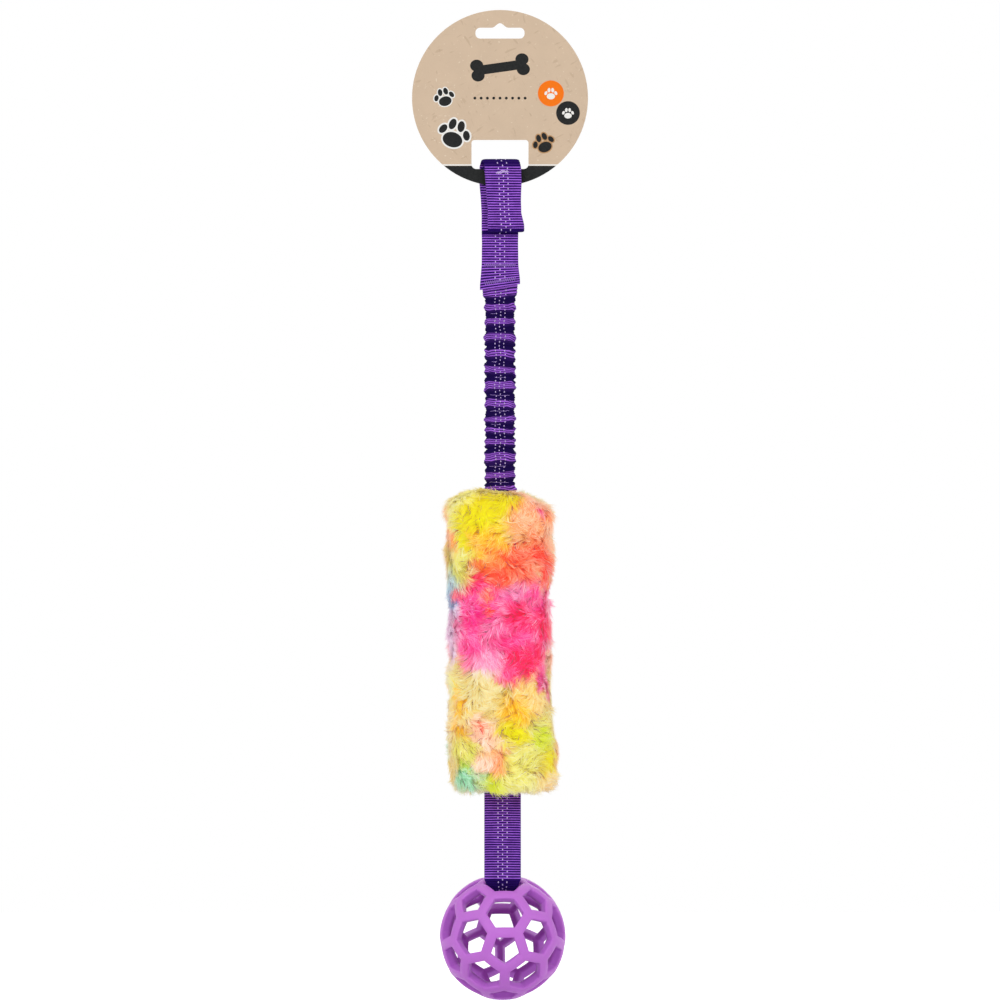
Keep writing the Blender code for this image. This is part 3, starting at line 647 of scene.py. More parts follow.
@dataclass(frozen=True)
class DyedPile:
    """The pile's fibres: the dye deepened at the root as painted shade, a painted highlight towards the tip
    at the rims, and a painted glow.

    Painted shade also darkens the roots, and the darkest strands, with the shade colour.
    """

    # Painted light: the fields below set painted shade at the roots and on the darkest strands, a painted
    # highlight at the rims, and a painted glow
    root_shade_power: float = 0.85
    root_shade: float = 0.6
    strand_shade: float = 0.8
    shade: Numbers = (0.26, 0.10, 0.15)
    tip: Numbers = (1.0, 0.94, 0.88)
    tuft_swing: float = 0.54
    rim_highlight: float = 0.68
    glow: float = 0.19
    roughness: float = 0.75
    sheen: float = 0.3
    knit_fineness: float = 1500.0
    knit_contrast: float = 0.8
    fuzz_scale: float = 900.0

    def _raised_dye(self, sheet: NodeSheet, dye: NodeSocket, power: object) -> NodeSocket:
        """The dye raised to a power: over 1 is deeper, under 1 lighter, and neither is greyer."""
        return sheet.add("Gamma", {"Color": dye, "Gamma": power}).outputs[0]

    def make(self, effects: Effects) -> Material:
        """Builds the fibres' material, which reads the root, along and tuft marks."""
        sheet = MaterialSheet("dyed_pile")
        dye = effects.dyed(sheet, sheet.mark("root", "Vector"))
        along, tuft = sheet.mark("along"), sheet.mark("tuft")
        # Painted shade: towards the root the dye is raised to a higher power, so it is deeper in colour
        root_shade_gamma = sheet.span(along, 0.0, 0.7, 1.0 + self.root_shade_power, 1.0)
        power = sheet.math("MULTIPLY_ADD", tuft, -self.tuft_swing, root_shade_gamma)
        # Painted shade: the roots, and the darkest strands, are mixed towards the shade colour
        rooted = sheet.span(along, 0.0, 0.4, self.root_shade, 0.0)
        deep_shade = sheet.math("MAXIMUM", rooted, sheet.span(tuft, -0.9, -1.7, 0.0, self.strand_shade))
        grown = sheet.mix(deep_shade, self._raised_dye(sheet, dye, power), self.shade)
        # Painted highlight: where the fibres face away from the view, at the rims, they turn paler towards
        # the tip
        facing = sheet.add("LayerWeight", {"Blend": 0.5}).outputs["Facing"]
        rim = sheet.span(facing, 0.35, 1.0, 0.02, self.rim_highlight)
        pale = sheet.math("MULTIPLY", sheet.span(along, 0.1, 1.0, 0.25, 1.0), rim)
        rim_highlighted = sheet.mix(pale, grown, self.tip)
        return sheet.coat({
            # Painted glow: the colour is also given off as light, in place of the light scattered through the
            # pile
            "Base Color": rim_highlighted, "Emission Color": rim_highlighted, "Emission Strength": self.glow,
            "Roughness": sheet.span(along, 0.0, 1.0, 0.9, self.roughness),
            "Sheen Weight": self.sheen, "Sheen Roughness": 0.5, "Specular IOR Level": 0.15,
        })

    def make_backing(self, effects: Effects) -> Material:
        """Builds the material of the knitted backing and the short under-pile on it, with painted shade and a
        painted glow.
        """
        sheet = MaterialSheet("pile_backing")
        place = sheet.here()
        _, height = effects.filaments(sheet, place, self.knit_fineness, self.knit_contrast)
        fuzz = sheet.noise(place, self.fuzz_scale, 4.0)
        # Painted shade: the backing under the pile takes a deeper colour, mottled at random
        mottled = self._raised_dye(sheet, effects.dyed(sheet, place), sheet.span(fuzz, 0.35, 0.7, 1.9, 1.3))
        return sheet.coat({
            # Painted glow, as on the fibres
            "Base Color": mottled, "Emission Color": mottled, "Emission Strength": self.glow,
            "Roughness": sheet.span(height, 0.2, 0.8, 0.8, 0.95),
            "Normal": sheet.bump(fuzz, 0.0012), "Sheen Weight": self.sheen,
        })


@dataclass(frozen=True)
class PolyesterWadding:
    """White fibre wadding."""

    tone: Numbers = (0.86, 0.86, 0.84)
    hollow: Numbers = (0.62, 0.62, 0.6)
    fineness: float = 700.0
    contrast: float = 0.35
    clump_scale: float = 140.0

    def make(self, effects: Effects) -> Material:
        """Builds the material."""
        sheet = MaterialSheet("polyester_wadding")
        place = sheet.here()
        _, height = effects.filaments(sheet, place, self.fineness, self.contrast)
        clumps = sheet.noise(place, self.clump_scale, 5.0)
        return sheet.coat({
            "Base Color": sheet.mix(sheet.span(clumps, 0.3, 0.7), self.hollow, self.tone),
            "Roughness": sheet.span(height, 0.2, 0.8, 0.85, 1.0),
            "Normal": sheet.bump(sheet.math("ADD", clumps, sheet.math("MULTIPLY", height, 0.5)), 0.002),
        })


@dataclass(frozen=True)
class MouldedRubber:
    """Matt orchid rubber with a fine moulded grain, and painted shade on the inner faces."""

    tone: Numbers = (0.56, 0.165, 0.70)
    deep_shade: Numbers = (0.30, 0.035, 0.37)
    roughness: float = 0.46
    cloud_scale: float = 55.0
    grain_scale: float = 2600.0
    grain_height: float = 0.00006

    def make(self, centre: Vector, outer: float, inner: float) -> Material:
        """Builds the material.

        Args:
            centre: The ball's centre.
            outer: The radius of the outer face.
            inner: The radius of the inner face.

        Returns:
            The material.
        """
        sheet = MaterialSheet("moulded_rubber")
        place = sheet.here()
        far = sheet.vector("DISTANCE", place, tuple(centre))
        # Painted shade: the faces towards the ball's hollow are mixed to the deep shade colour
        body = sheet.mix(sheet.span(far, inner - 0.8 * MM, 0.62 * inner + 0.38 * outer), self.deep_shade, self.tone)
        cloud = sheet.span(sheet.noise(place, self.cloud_scale), 0.35, 0.7, 0.0, 0.22)
        grain = sheet.noise(place, self.grain_scale, 2.0)
        return sheet.coat({
            "Base Color": sheet.mix(cloud, body, times(self.tone, 1.14)),
            "Roughness": sheet.span(grain, 0.3, 0.7, self.roughness - 0.05, self.roughness + 0.1),
            "Normal": sheet.bump(grain, self.grain_height, 0.6), "Specular IOR Level": 0.4,
            "Subsurface Weight": 0.12, "Subsurface Radius": (0.004, 0.0015, 0.004),
        })


@dataclass
class Inks:
    """The card's colours as they are laid over each other."""

    sheet: NodeSheet
    effects: Effects
    place: NodeSocket
    tone: NodeSocket

    def cover(self, mask: NodeSocket, ink: Numbers) -> None:
        """Lays an ink where the mask is 1."""
        self.tone = self.sheet.mix(mask, self.tone, ink)

    def stamp(self, motif: NodeTree, ink: Numbers, x: float, z: float, **given: object) -> None:
        """Prints a shared motif.

        Args:
            motif: The effect that masks it.
            ink: Its colour.
            x: How far to the right its centre is, in millimetres.
            z: How far up, in millimetres.
            given: The effect's other inputs.
        """
        inputs = {"Place": self.place, "Centre": (x * MM, 0.0, z * MM), "Turn": 0.0, **given}
        self.cover(self.sheet.effect(motif, inputs).outputs["Mask"], ink)

    def ellipse(self, ink: Numbers, x: float, z: float, wide: float, high: float) -> None:
        """Prints an ellipse of that half width and half height in millimetres."""
        self.stamp(self.effects.blot, ink, x, z, Size=(wide * MM, 1.0, high * MM))

    def paw(
        self, ink: Numbers, x: float, z: float, size: float, turn: float = 0.0, outline: float = 0.0
    ) -> None:
        """Prints a paw of that size in millimetres."""
        self.stamp(self.effects.paw, ink, x, z, Size=size * MM, Turn=turn, Outline=outline)


@dataclass(frozen=True)
class KraftPrint:
    """Recycled kraft board with fibres and flecks, printed on its face with paws and a bone.

    The colours are linear, and the print's places and sizes are in millimetres.
    """

    board: Numbers = (0.655, 0.500, 0.360)
    fibre: Numbers = (0.44, 0.31, 0.20)
    fleck: Numbers = (0.80, 0.68, 0.54)
    ink: Numbers = (0.0125, 0.0135, 0.0135)
    orange: Numbers = (0.93, 0.185, 0.004)
    tan: Numbers = (0.47, 0.27, 0.13)
    white: Numbers = (0.86, 0.85, 0.82)
    paw_outline: float = 0.09
    bone_height: float = -31.0
    bone_half: float = 16.0
    bone_thick: float = 3.3
    bone_tilt: float = math.radians(8)
    dots_height: float = -52.5
    dots_pitch: float = 4.4
    line_height: float = -99.3
    band_top: float = -99.9

    def make(self, effects: Effects) -> Material:
        """Builds the material from the place on the board, in the card's own plane."""
        sheet = MaterialSheet("printed_kraft")
        place = sheet.here()
        cloud = sheet.span(sheet.noise(place, 60.0, 4.0), 0.3, 0.7, 0.0, 0.35)
        tone = sheet.mix(cloud, self.board, times(self.board, 0.9))
        for turn, scale, low in ((0.5, 420.0, 0.66), (-0.9, 330.0, 0.68), (1.9, 500.0, 0.69)):
            strands = sheet.noise(sheet.stretched(sheet.turned(place, turn), 0.28), scale, 1.0)
            tone = sheet.mix(sheet.span(strands, low, round(low + 0.08, 2), 0.0, 0.34), tone, self.fibre)
        flecks = sheet.span(sheet.noise(place, 640.0, 1.0), 0.70, 0.76, 0.0, 0.7)
        tone = sheet.mix(flecks, tone, self.fleck)
        normal = sheet.add(
            "VectorTransform", {"Vector": sheet.add("NewGeometry").outputs["True Normal"]},
            vector_type="NORMAL", convert_from="WORLD", convert_to="OBJECT",
        )
        front = sheet.math("LESS_THAN", sheet.add("SeparateXYZ", {0: normal.outputs[0]}).outputs[1], -0.5)
        pulp = sheet.noise(place, 900.0, 4.0)
        return sheet.coat({
            "Base Color": sheet.mix(front, tone, self._print(Inks(sheet, effects, place, tone))),
            "Roughness": sheet.span(pulp, 0.3, 0.7, 0.72, 0.9),
            "Normal": sheet.bump(pulp, 0.00008, 0.7), "Specular IOR Level": 0.25,
        })

    def _print(self, inks: Inks) -> NodeSocket:
        """Prints the motifs over the board, and returns the printed colour."""
        for x, z, size, turn, edge in (
            (-32.0, -77.5, 12.5, -0.30, self.white), (-39.0, -52.0, 8.0, 0.25, self.white),
            (30.5, -84.0, 8.5, 0.35, self.tan),
        ):
            inks.paw(edge, x, z, size, turn, self.paw_outline)
            inks.paw(self.ink, x, z, size, turn)
        self._bone(inks)
        for x, z, radius, ink in ((35.6, -49.2, 9.1, self.orange), (47.6, -62.9, 8.3, self.ink)):
            inks.ellipse(ink, x, z, radius, radius)
            inks.paw(self.white, x, z - 0.3, 0.56 * radius)
        sheet = inks.sheet
        height = sheet.add("SeparateXYZ", {0: inks.place}).outputs[2]
        inks.cover(sheet.math("COMPARE", height, self.line_height * MM, 0.45 * MM), self.white)
        inks.cover(sheet.math("LESS_THAN", height, self.band_top * MM), self.ink)
        return inks.tone

    def _bone(self, inks: Inks) -> None:
        """Prints a bone over a row of dots."""
        sheet = inks.sheet
        cos, sin = math.cos(self.bone_tilt), math.sin(self.bone_tilt)
        for along in (-self.bone_half, self.bone_half):
            for across in (3.5, -3.5):
                x, z = along * cos - across * sin, along * sin + across * cos
                inks.ellipse(self.ink, x, z + self.bone_height, 4.6, 4.2)
        away = sheet.vector("SUBTRACT", inks.place, (0.0, 0.0, self.bone_height * MM))
        parts = sheet.add("SeparateXYZ", {0: sheet.turned(away, self.bone_tilt)}).outputs
        wide, high = (
            sheet.math("LESS_THAN", sheet.math("ABSOLUTE", parts[axis]), reach * MM)
            for axis, reach in ((0, self.bone_half), (2, self.bone_thick))
        )
        inks.cover(sheet.math("MULTIPLY", wide, high), self.ink)
        for step in range(-4, 5):
            inks.ellipse(self.ink, step * self.dots_pitch, self.dots_height, 1.0, 1.0)


# Straps


@dataclass
class StrapRoute:
    """The middle line of a strap in the YZ plane, laid as runs and bends, with its sideways drift."""

    x: float
    y: float
    z: float
    heading: float
    step: float = 0.25 * MM
    points: list[tuple[float, float, float]] = field(default_factory=list)

    def __post_init__(self) -> None:
        """Puts down the first point."""
        self.points.append((self.x, self.y, self.z))

    def _go(self, y: float, z: float, drift: float) -> None:
        """Puts down one more point."""
        self.x += drift
        self.y = y
        self.z = z
        self.points.append((self.x, y, z))

    def run(self, length: float, drift: float = 0.0) -> None:
        """A straight stretch along the heading, which is an angle from +Y towards +Z."""
        steps = max(1, math.ceil(abs(length) / self.step))
        for _ in range(steps):
            y = self.y + length / steps * math.cos(self.heading)
            z = self.z + length / steps * math.sin(self.heading)
            self._go(y, z, drift / steps)

    def bend(self, radius: float, angle: float, drift: float = 0.0) -> None:
        """An arc; a positive angle turns from +Y towards +Z."""
        steps = max(6, math.ceil(abs(radius * angle) / self.step))
        side = math.copysign(1.0, angle)
        centre_y = self.y - side * radius * math.sin(self.heading)
        centre_z = self.z + side * radius * math.cos(self.heading)
        for _ in range(steps):
            self.heading += angle / steps
            y = centre_y + side * radius * math.sin(self.heading)
            z = centre_z - side * radius * math.cos(self.heading)
            self._go(y, z, drift / steps)

    def sway(self, shift: float, rise: float, drift: float = 0.0) -> None:
        """Two opposite arcs that move the line sideways by shift while it goes on by rise."""
        angle = 2 * math.atan2(shift, rise)
        radius = rise / (2 * math.sin(abs(angle)))
        self.bend(radius, angle, drift / 2)
        self.bend(radius, -angle, drift / 2)

    def even(self, spacing: float) -> Array:
        """The line as points an even spacing apart, with its corners eased."""
        given = np.array(self.points)
        lengths = travelled(given)
        return sampled(given, lengths, np.arange(0.0, lengths[-1], spacing), 6)


@dataclass
class Webbing:
    """The webbing itself: its size, its ribs and its rows of tracer thread."""

    width: float = 25.2 * MM
    ground: float = 0.46 * MM
    crest: float = 0.88 * MM
    pitch: float = 1.80 * MM
    rib_share: float = 0.62
    rows_a_rib: int = 8
    tracer_rows: Numbers = (-3.2 * MM, 0.0, 3.2 * MM)
    tracer_length: float = 2.0 * MM
    tracer_width: float = 0.40 * MM
    tracer_sink: float = 0.06 * MM
    rib_wander: float = 0.10
    flat_share: float = 0.65
    edge_grow: float = 0.22 * MM

    def spacing(self) -> float:
        """The distance between two rows of the mesh."""
        return self.pitch / self.rows_a_rib

    def rib(self, along: Array, across: Array, side: Side) -> Array:
        """How far a place is up a rib, from 0 in a gap to 1 on a crest."""
        place = np.stack([across / 9.0 / MM, along / 11.0 / MM, np.full_like(along, side.value)], axis=-1)
        wave = self.rib_wander * lattice_noise(place, 1.0, 5)
        return crest(along / self.pitch + (0.0 if side is Side.OUTER else 0.5) + wave, self.rib_share)

    def build(
        self, name: str, line: Array, widths: Array, tilts: Array, start: float,
        sunk: Array,
    ) -> Object:
        """Builds a strap along a line.

        Args:
            name: The piece's name.
            line: Its middle line, one point for each row.
            widths: Its width at each row.
            tilts: How far the side lifts in Z for each metre across, at each row.
            start: The length of webbing before the first row.
            sunk: How much painted shade each row gets, from 0 to 1.

        Returns:
            The strap, with the rib mark and the painted light mark.
        """
        side, normal = strap_axes(line, tilts)
        even = np.linspace(-1, 1, 21)
        shares = np.sin(np.linspace(-math.pi / 2, math.pi / 2, 21)) * 0.35 + even * self.flat_share
        ring = [(share, Side.OUTER) for share in shares] + [(share, Side.INNER) for share in shares[::-1]]
        rows, around = len(line), len(ring)
        along = start + np.arange(rows) * self.spacing()
        points = np.zeros((rows, around, 3))
        ribs, painted_light = np.zeros((2, rows, around))
        # Painted shade: rows that face up or down, and the sunk rows, get a darker colour, with their ribs
        # pressed to the gap's colour
        turned = np.maximum(smoothstep((np.abs(normal[:, 2]) - 0.22) / 0.45), sunk)
        for number, (share, face) in enumerate(ring):
            across = share * widths / 2
            rib = self.rib(along, across, face)
            edge = np.sqrt(max(0.0, 1.0 - abs(share) ** 9))
            height = (self.ground + (self.crest - self.ground) * rib) * (0.30 + 0.70 * edge)
            out = (across + math.copysign(self.edge_grow, share) * rib * (abs(share) > 0.97))[:, None]
            points[:, number] = line + side * out + normal * (face.value * height)[:, None]
            ribs[:, number] = rib * (1.0 - 0.72 * turned)
            fade = lattice_noise(np.stack([across, along, np.zeros(rows)], axis=1), 2.6 * MM, 11)
            # The painted light mark: bright on the crests, shaded in the gaps, with random patches, and dark
            # on the rows with painted shade
            painted_light[:, number] = np.clip(0.35 + 0.65 * rib ** 2 + 0.22 * fade, 0.0, 1.0) * (1.0 - 0.9 * turned)
        caps = np.array([[n, n + 1, around - 2 - n, around - 1 - n] for n in range(len(shares) - 1)])
        faces = [tube_faces(rows, around)[:, ::-1], caps, caps[:, ::-1] + (rows - 1) * around]
        return mesh_object(name, points, faces, {"rib": ribs.ravel(), "painted_light": painted_light.ravel()})

    def trace(
        self, name: str, line: Array, tilts: Array, squeeze: Array, start: float
    ) -> Object:
        """Builds the tracer thread's stitches on both faces.

        Args:
            name: The piece's name.
            line: The strap's middle line.
            tilts: The strap's tilts.
            squeeze: The share of the full width at each row.
            start: The length of webbing before the first row.

        Returns:
            The stitches as one object.
        """
        side, normal = strap_axes(line, tilts)
        laid = Stitches(self.tracer_length, self.tracer_width)
        last = len(line) - 1
        reach = 2 * self.pitch
        for face in Side:
            for number, row in enumerate(self.tracer_rows):
                offset = self.pitch * (number % 2) + (0.0 if face is Side.OUTER else self.pitch / 2)
                first = math.ceil((start - offset) / reach)
                for step in range(int((last * self.spacing()) / reach)):
                    at = ((first + step) * 2 * self.pitch + offset - start) / self.spacing()
                    if not 0 <= at < last:
                        continue
                    base = int(at)
                    share = at - base
                    middle = line[base] * (1 - share) + line[base + 1] * share
                    run = unit(line[min(base + 4, last)] - line[max(base - 4, 0)])
                    lift = normal[base] * face.value
                    place = middle + side[base] * row * squeeze[base] + lift * (self.crest - self.tracer_sink)
                    laid.lay(place, run, lift)
        return laid.build(name)


def strap_axes(line: Array, tilts: Array) -> tuple[Array, Array]:
    """The sideways and outward directions of a strap at each row of its line."""
    side = np.tile(ALONG_X, (len(line), 1))
    normal = unit(np.cross(unit(np.gradient(line, axis=0)), side))
    side[:, 2] += tilts
    return side, normal


@dataclass
class Stitches:
    """Short rounded stitches that dip into the cloth at both ends, laid one by one."""

    length: float
    width: float
    laid: list[tuple[Array, Array, Array]] = field(default_factory=list)
    around: int = 6
    shares: Numbers = (-0.92, -0.5, 0.0, 0.5, 0.92)

    def lay(self, place: Array, run: Array, lift: Array) -> None:
        """Lays a stitch.

        Args:
            place: Its middle.
            run: Its direction.
            lift: The cloth's outward direction there.
        """
        self.laid.append((place, run, lift))

    def build(self, name: str) -> Object:
        """Builds the stitches as one object of that name."""
        places, runs, lifts = np.array(self.laid).transpose(1, 0, 2)
        across = np.cross(lifts, runs)
        points = []
        for share in self.shares:
            thick = self.width * math.sqrt(1.0 - abs(share) ** 3) * 0.9 + 0.1 * self.width
            sunk = 1.1 * self.width * share * share
            centre = places + runs * (share * self.length / 2) - lifts * sunk
            for angle in turns_round(self.around):
                turned = across * (thick * math.cos(angle)) + lifts * (0.75 * thick * math.sin(angle))
                points.append(centre + turned)
        for end in (-1.0, 1.0):
            points.append(places + runs * (end * self.length / 2) - lifts * 1.3 * self.width)
        cloud = np.stack(points, axis=1)
        each = cloud.shape[1]
        far = (len(self.shares) - 1) * self.around
        tips = []
        for number in range(self.around):
            beside = (number + 1) % self.around
            tips += [(each - 2, beside, number), (each - 1, far + number, far + beside)]
        body = tube_faces(len(self.shares), self.around)
        return mesh_object(name, cloud, repeated(len(places), each, body, tips))


def repeated(count: int, each: int, *parts: object) -> list[Array]:
    """The faces of many like things: each part's corner numbers, moved on by each for every thing."""
    starts = (np.arange(count) * each)[:, None, None]
    return [(np.array(part)[None] + starts).reshape(-1, len(part[0])) for part in parts]


@dataclass
class HandleLoop:
    """The doubled webbing handle, folded over the card's band, with its two bars of stitches."""

    webbing: Webbing
    card_room: float = 1.8 * MM
    crown_rise: float = 7.0 * MM
    flap_drop: float = 44.4 * MM
    eye_radius: float = 2.0 * MM
    flap_sway: float = 14.0 * MM
    back_skew: float = 1.6 * MM
    flap_shift: float = 3.6 * MM
    flap_skew: float = 2.2 * MM
    seam_grip: float = 18.0 * MM
    seam_flare: float = 1.2 * MM
    seam_tilt: float = 0.15
    elastic: float = 2.0 * MM
    waist: float = 2.0 * MM
    waist_shift: float = 1.05 * MM
    waist_levels: Numbers = (101.0, 29.0, 143.0, 12.0)
    back_gain: float = 1.8 * MM
    back_levels: Numbers = (103.0, 6.0, 140.0, 25.0)
    hem_level: float = 146.0
    rumple: float = 0.5 * MM
    thread: float = 0.34 * MM
    bar_width: float = 21.0 * MM
    bar_stitches: int = 30
    bar_lift: float = 0.10 * MM

    def line(self) -> Array:
        """The handle's middle line: up behind the card, over the band, to the flap's eye and back."""
        grip = self.elastic / 2 + PLY_GAP + PLY / 2
        inner = BOARD / 2 + self.card_room + PLY / 2
        outer = inner + PLY + PLY_GAP
        below_card = BAND_TOP - BAND_HEIGHT - 6.0 * MM
        sway = below_card - (HANDLE_END + self.seam_grip)
        outer_centre = BAND_TOP + self.crown_rise - PLY / 2 - outer
        inner_centre = BAND_TOP + PLY_GAP + PLY / 2 - inner
        eye_y = -inner - 2 * self.eye_radius
        eye_z = BAND_TOP - self.flap_drop + PLY / 2 + self.eye_radius
        route = StrapRoute(0.0, grip, HANDLE_END, math.pi / 2)
        route.run(self.seam_grip)
        route.sway(grip - outer, sway)
        route.run(outer_centre - below_card, -self.back_skew)
        route.bend(outer, math.pi, self.flap_shift)
        route.run(outer_centre - eye_z - self.flap_sway, self.flap_skew)
        route.sway(eye_y + outer, self.flap_sway)
        route.bend(self.eye_radius, math.pi)
        route.run(self.flap_sway)
        route.run(inner_centre - eye_z - self.flap_sway, -self.flap_skew)
        route.bend(inner, -math.pi, -self.flap_shift)
        route.run(inner_centre - below_card, self.back_skew)
        route.sway(-inner - grip, sway)
        route.run(self.seam_grip)
        return route.even(self.webbing.spacing())

    def build(self, looks: "Looks") -> list[Object]:
        """Builds the handle, its tracer thread and its bars of stitches."""
        line = self.line()
        near_end = smoothstep(1.0 - (line[:, 2] - HANDLE_END) / self.seam_grip)
        fallen = -line[:, 2] / MM
        in_front, at_back = line[:, 1] < -1.5 * MM, line[:, 1] > 1.5 * MM
        waist = hump(fallen, *self.waist_levels) * in_front
        behind = hump(fallen, *self.back_levels) * at_back
        line[:, 0] -= self.waist_shift * waist
        widths = self.webbing.width + 2 * self.seam_flare * near_end - self.waist * waist
        widths = widths + self.back_gain * behind
        widths = widths + lattice_noise(line + 0.5 * ALONG_X, 7.0 * MM, 3) * self.rumple
        tilts = self.seam_tilt * near_end
        # Painted shade on the front rows: a band round the flap's end and on the handle just under it, and
        # the top turn over the band
        hem = smoothstep((2.9 - np.abs(fallen - self.hem_level)) / 1.3)
        crown = 0.8 * smoothstep((101.8 - fallen) / 3.4)
        sunk = np.maximum(hem, crown) * (line[:, 1] < 0.0)
        loop = self.webbing.build("handle_webbing", line, widths, tilts, 0.0, sunk)
        tracer = self.webbing.trace("handle_tracer", line, tilts, widths / self.webbing.width, 0.0)
        front = -(self.elastic / 2 + PLY_GAP + PLY + self.bar_lift)
        bar = self._bar("handle_bar_stitches", HANDLE_END + self.seam_grip - 2.6 * MM, 0.0, front)
        end_bar = self._bar("handle_end_bar_stitches", HANDLE_END + 4.2 * MM, self.seam_tilt, front)
        knot = self._knot()
        for piece, finish, slot, nodes in (
            (loop, looks.webbing, "webbing", ("handle_loop",)), (tracer, looks.tracer, "webbing", ()),
            (bar, looks.thread, "thread", ("handle_bartack",)),
            (end_bar, looks.thread, "thread", ("handle_end_bartack",)), (knot, looks.tracer, "webbing", ()),
        ):
            dress(piece, finish, Body.HANDLE, slot, *nodes)
        return [loop, tracer, knot, bar, end_bar]

    def _knot(self) -> Object:
        """The tangle of tracer thread across the front ply, just under the band's top."""
        draw = np.random.default_rng(4)
        front = -(BOARD / 2 + self.card_room + 1.5 * PLY + PLY_GAP + self.webbing.crest - 0.1 * MM)
        laid = Stitches(1.9 * MM, self.thread)
        for x in np.linspace(-2.2, 5.4, 20):
            place = np.array((x * MM, front, BAND_TOP - (1.0 + 1.9 * draw.random()) * MM))
            laid.lay(place, unit(np.array((1.0, 0.0, draw.normal(0.0, 0.5)))), TO_FRONT)
        return laid.build("handle_tracer_knot")

    def _bar(self, name: str, height: float, tilt: float, front: float) -> Object:
        """One bar of slanted satin stitches.

        Args:
            name: The piece's name.
            height: The bar's level in its middle.
            tilt: How far it lifts in Z for each metre across.
            front: The front ply's face.

        Returns:
            The bar.
        """
        laid = Stitches(2.7 * MM, self.thread)
        for step in range(self.bar_stitches):
            x = (step / (self.bar_stitches - 1) - 0.5) * self.bar_width
            run = unit(np.array((0.30 if step % 2 else -0.30, 0.0, 1.0)))
            laid.lay(np.array((x, front - self.bar_lift, height + tilt * x)), run, TO_FRONT)
        return laid.build(name)


@dataclass
class BallStrap:
    """The webbing loop from the plush tube to the ball's top strut."""

    webbing: Webbing
    ball: "LatticeBall"
    throat: float = 14.4 * MM
    entry: float = 23.8 * MM
    entry_level: float = 38.4 * MM
    entry_rise: float = 2.6 * MM
    exit_radius: float = 15.0 * MM
    front_radius: float = 9.0 * MM
    front_place: float = 12.0 * MM
    back_radius: float = 5.0 * MM
    back_place: float = 7.0 * MM
    meeting_place: float = 9.5 * MM
    funnel: float = 16.0 * MM
    hidden: float = 42.0 * MM
    cut: float = -575.0 * MM
    shade_level: float = -598.0 * MM

    def _half(self, face: Side, place: float, radius: float) -> list[tuple[float, float, float]]:
        """One side of the strap, from inside the plush to under the ball's top strut.

        Args:
            face: The outer side is in front; the inner one is laid out as seen from behind.
            place: How far in front of the ball's middle the lower bend is.
            radius: The radius of that bend.

        Returns:
            The points of its middle line.
        """
        offset = (PLY + PLY_GAP) / 2
        hollow = self.ball.radius - self.ball.wall - self.ball.ridge
        strut_y = hollow * math.sin(self.ball.tilt)
        roof = math.sqrt(hollow ** 2 - (self.throat / 2) ** 2 - strut_y ** 2)
        crook = BALL_PLACE.z + roof - 2 * PLY_GAP - PLY / 2 + radius
        exit_radius = face.value * self.exit_radius
        both = exit_radius + radius
        across, down = -face.value * place + offset + exit_radius, PLUSH_BOTTOM - crook
        length = math.sqrt(across * across + down * down - both * both)
        slant = math.atan2(down, across) - math.atan2(length, both)
        route = StrapRoute(BALL_PLACE.x, -offset, PLUSH_BOTTOM + self.hidden, -math.pi / 2)
        route.run(self.hidden)
        route.bend(self.exit_radius, -slant)
        route.run(length)
        route.bend(radius, math.pi / 2 + slant)
        route.run(face.value * (place - self.meeting_place))
        return [(x, face.value * y, z) for x, y, z in route.points]

    def _widths(self, line: Array) -> Array:
        """The webbing's width at each row: it fills the front opening and bunches behind the strut."""
        surface = BALL_PLACE.z + self.ball.radius
        y, z = line[:, 1], line[:, 2]
        turned = np.clip((-y - self.front_place) / self.front_radius, 0.0, 1.0)
        inside = self.throat + (self.entry - self.throat) * turned
        outside = smoothstep((z - BALL_PLACE.z - self.entry_level) / self.entry_rise)
        front = inside + (self.webbing.width - inside) * outside
        back = self.throat + (self.webbing.width - self.throat) * smoothstep((z - surface) / self.funnel)
        middle = int(np.argmin(np.abs(y + self.meeting_place) + 3.0 * (z - z.min())))
        return np.where(np.arange(len(line)) < middle, front, back)

    def build(self, looks: "Looks") -> list[Object]:
        """Builds the strap as an upper piece at the plush and a lower piece in the ball."""
        front = self._half(Side.OUTER, self.front_place, self.front_radius)
        back = self._half(Side.INNER, self.back_place, self.back_radius)
        route = StrapRoute(*front[0], 0.0)
        route.points = front + back[-2::-1]
        line = route.even(self.webbing.spacing())
        widths = self._widths(line)
        pieces = []
        low = np.flatnonzero(line[:, 2] < self.cut)
        spans = ((0, low[0] + 1), (low[0], low[-1] + 1), (low[-1], len(line)))
        for part, (first, last) in zip(("front", "loop", "back"), spans):
            length = first * self.webbing.spacing()
            own, wide, tilts = line[first:last], widths[first:last], np.zeros(last - first)
            # Painted shade on the strap below the shade level, where it goes into the ball's opening
            sunk = smoothstep((self.shade_level - own[:, 2]) / (2.0 * MM))
            strap = self.webbing.build(f"strap_{part}", own, wide, tilts, length, sunk)
            tracer = self.webbing.trace(f"strap_{part}_tracer", own, tilts, wide / self.webbing.width, length)
            for piece, finish in ((strap, looks.webbing), (tracer, looks.tracer)):
                put_on(piece, finish)
                if part == "loop":
                    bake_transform(piece)
                else:
                    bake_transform(piece)
                pieces.append(piece)
        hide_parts("ball_strap")
        return pieces


def put_on(piece: Object, finish: Material) -> None:
    """Gives a piece its material."""
    piece.data.materials.clear()
    piece.data.materials.append(finish)


def dress(
    piece: Object, finish: Material, body: Body, slot: str, *nodes: str
) -> Object:
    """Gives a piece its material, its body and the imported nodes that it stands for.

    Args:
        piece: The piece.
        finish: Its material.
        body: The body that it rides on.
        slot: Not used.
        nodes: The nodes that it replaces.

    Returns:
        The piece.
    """
    put_on(piece, finish)
    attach(piece, body.value)
    if nodes:
        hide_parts(*nodes)
    return piece


# Bungee


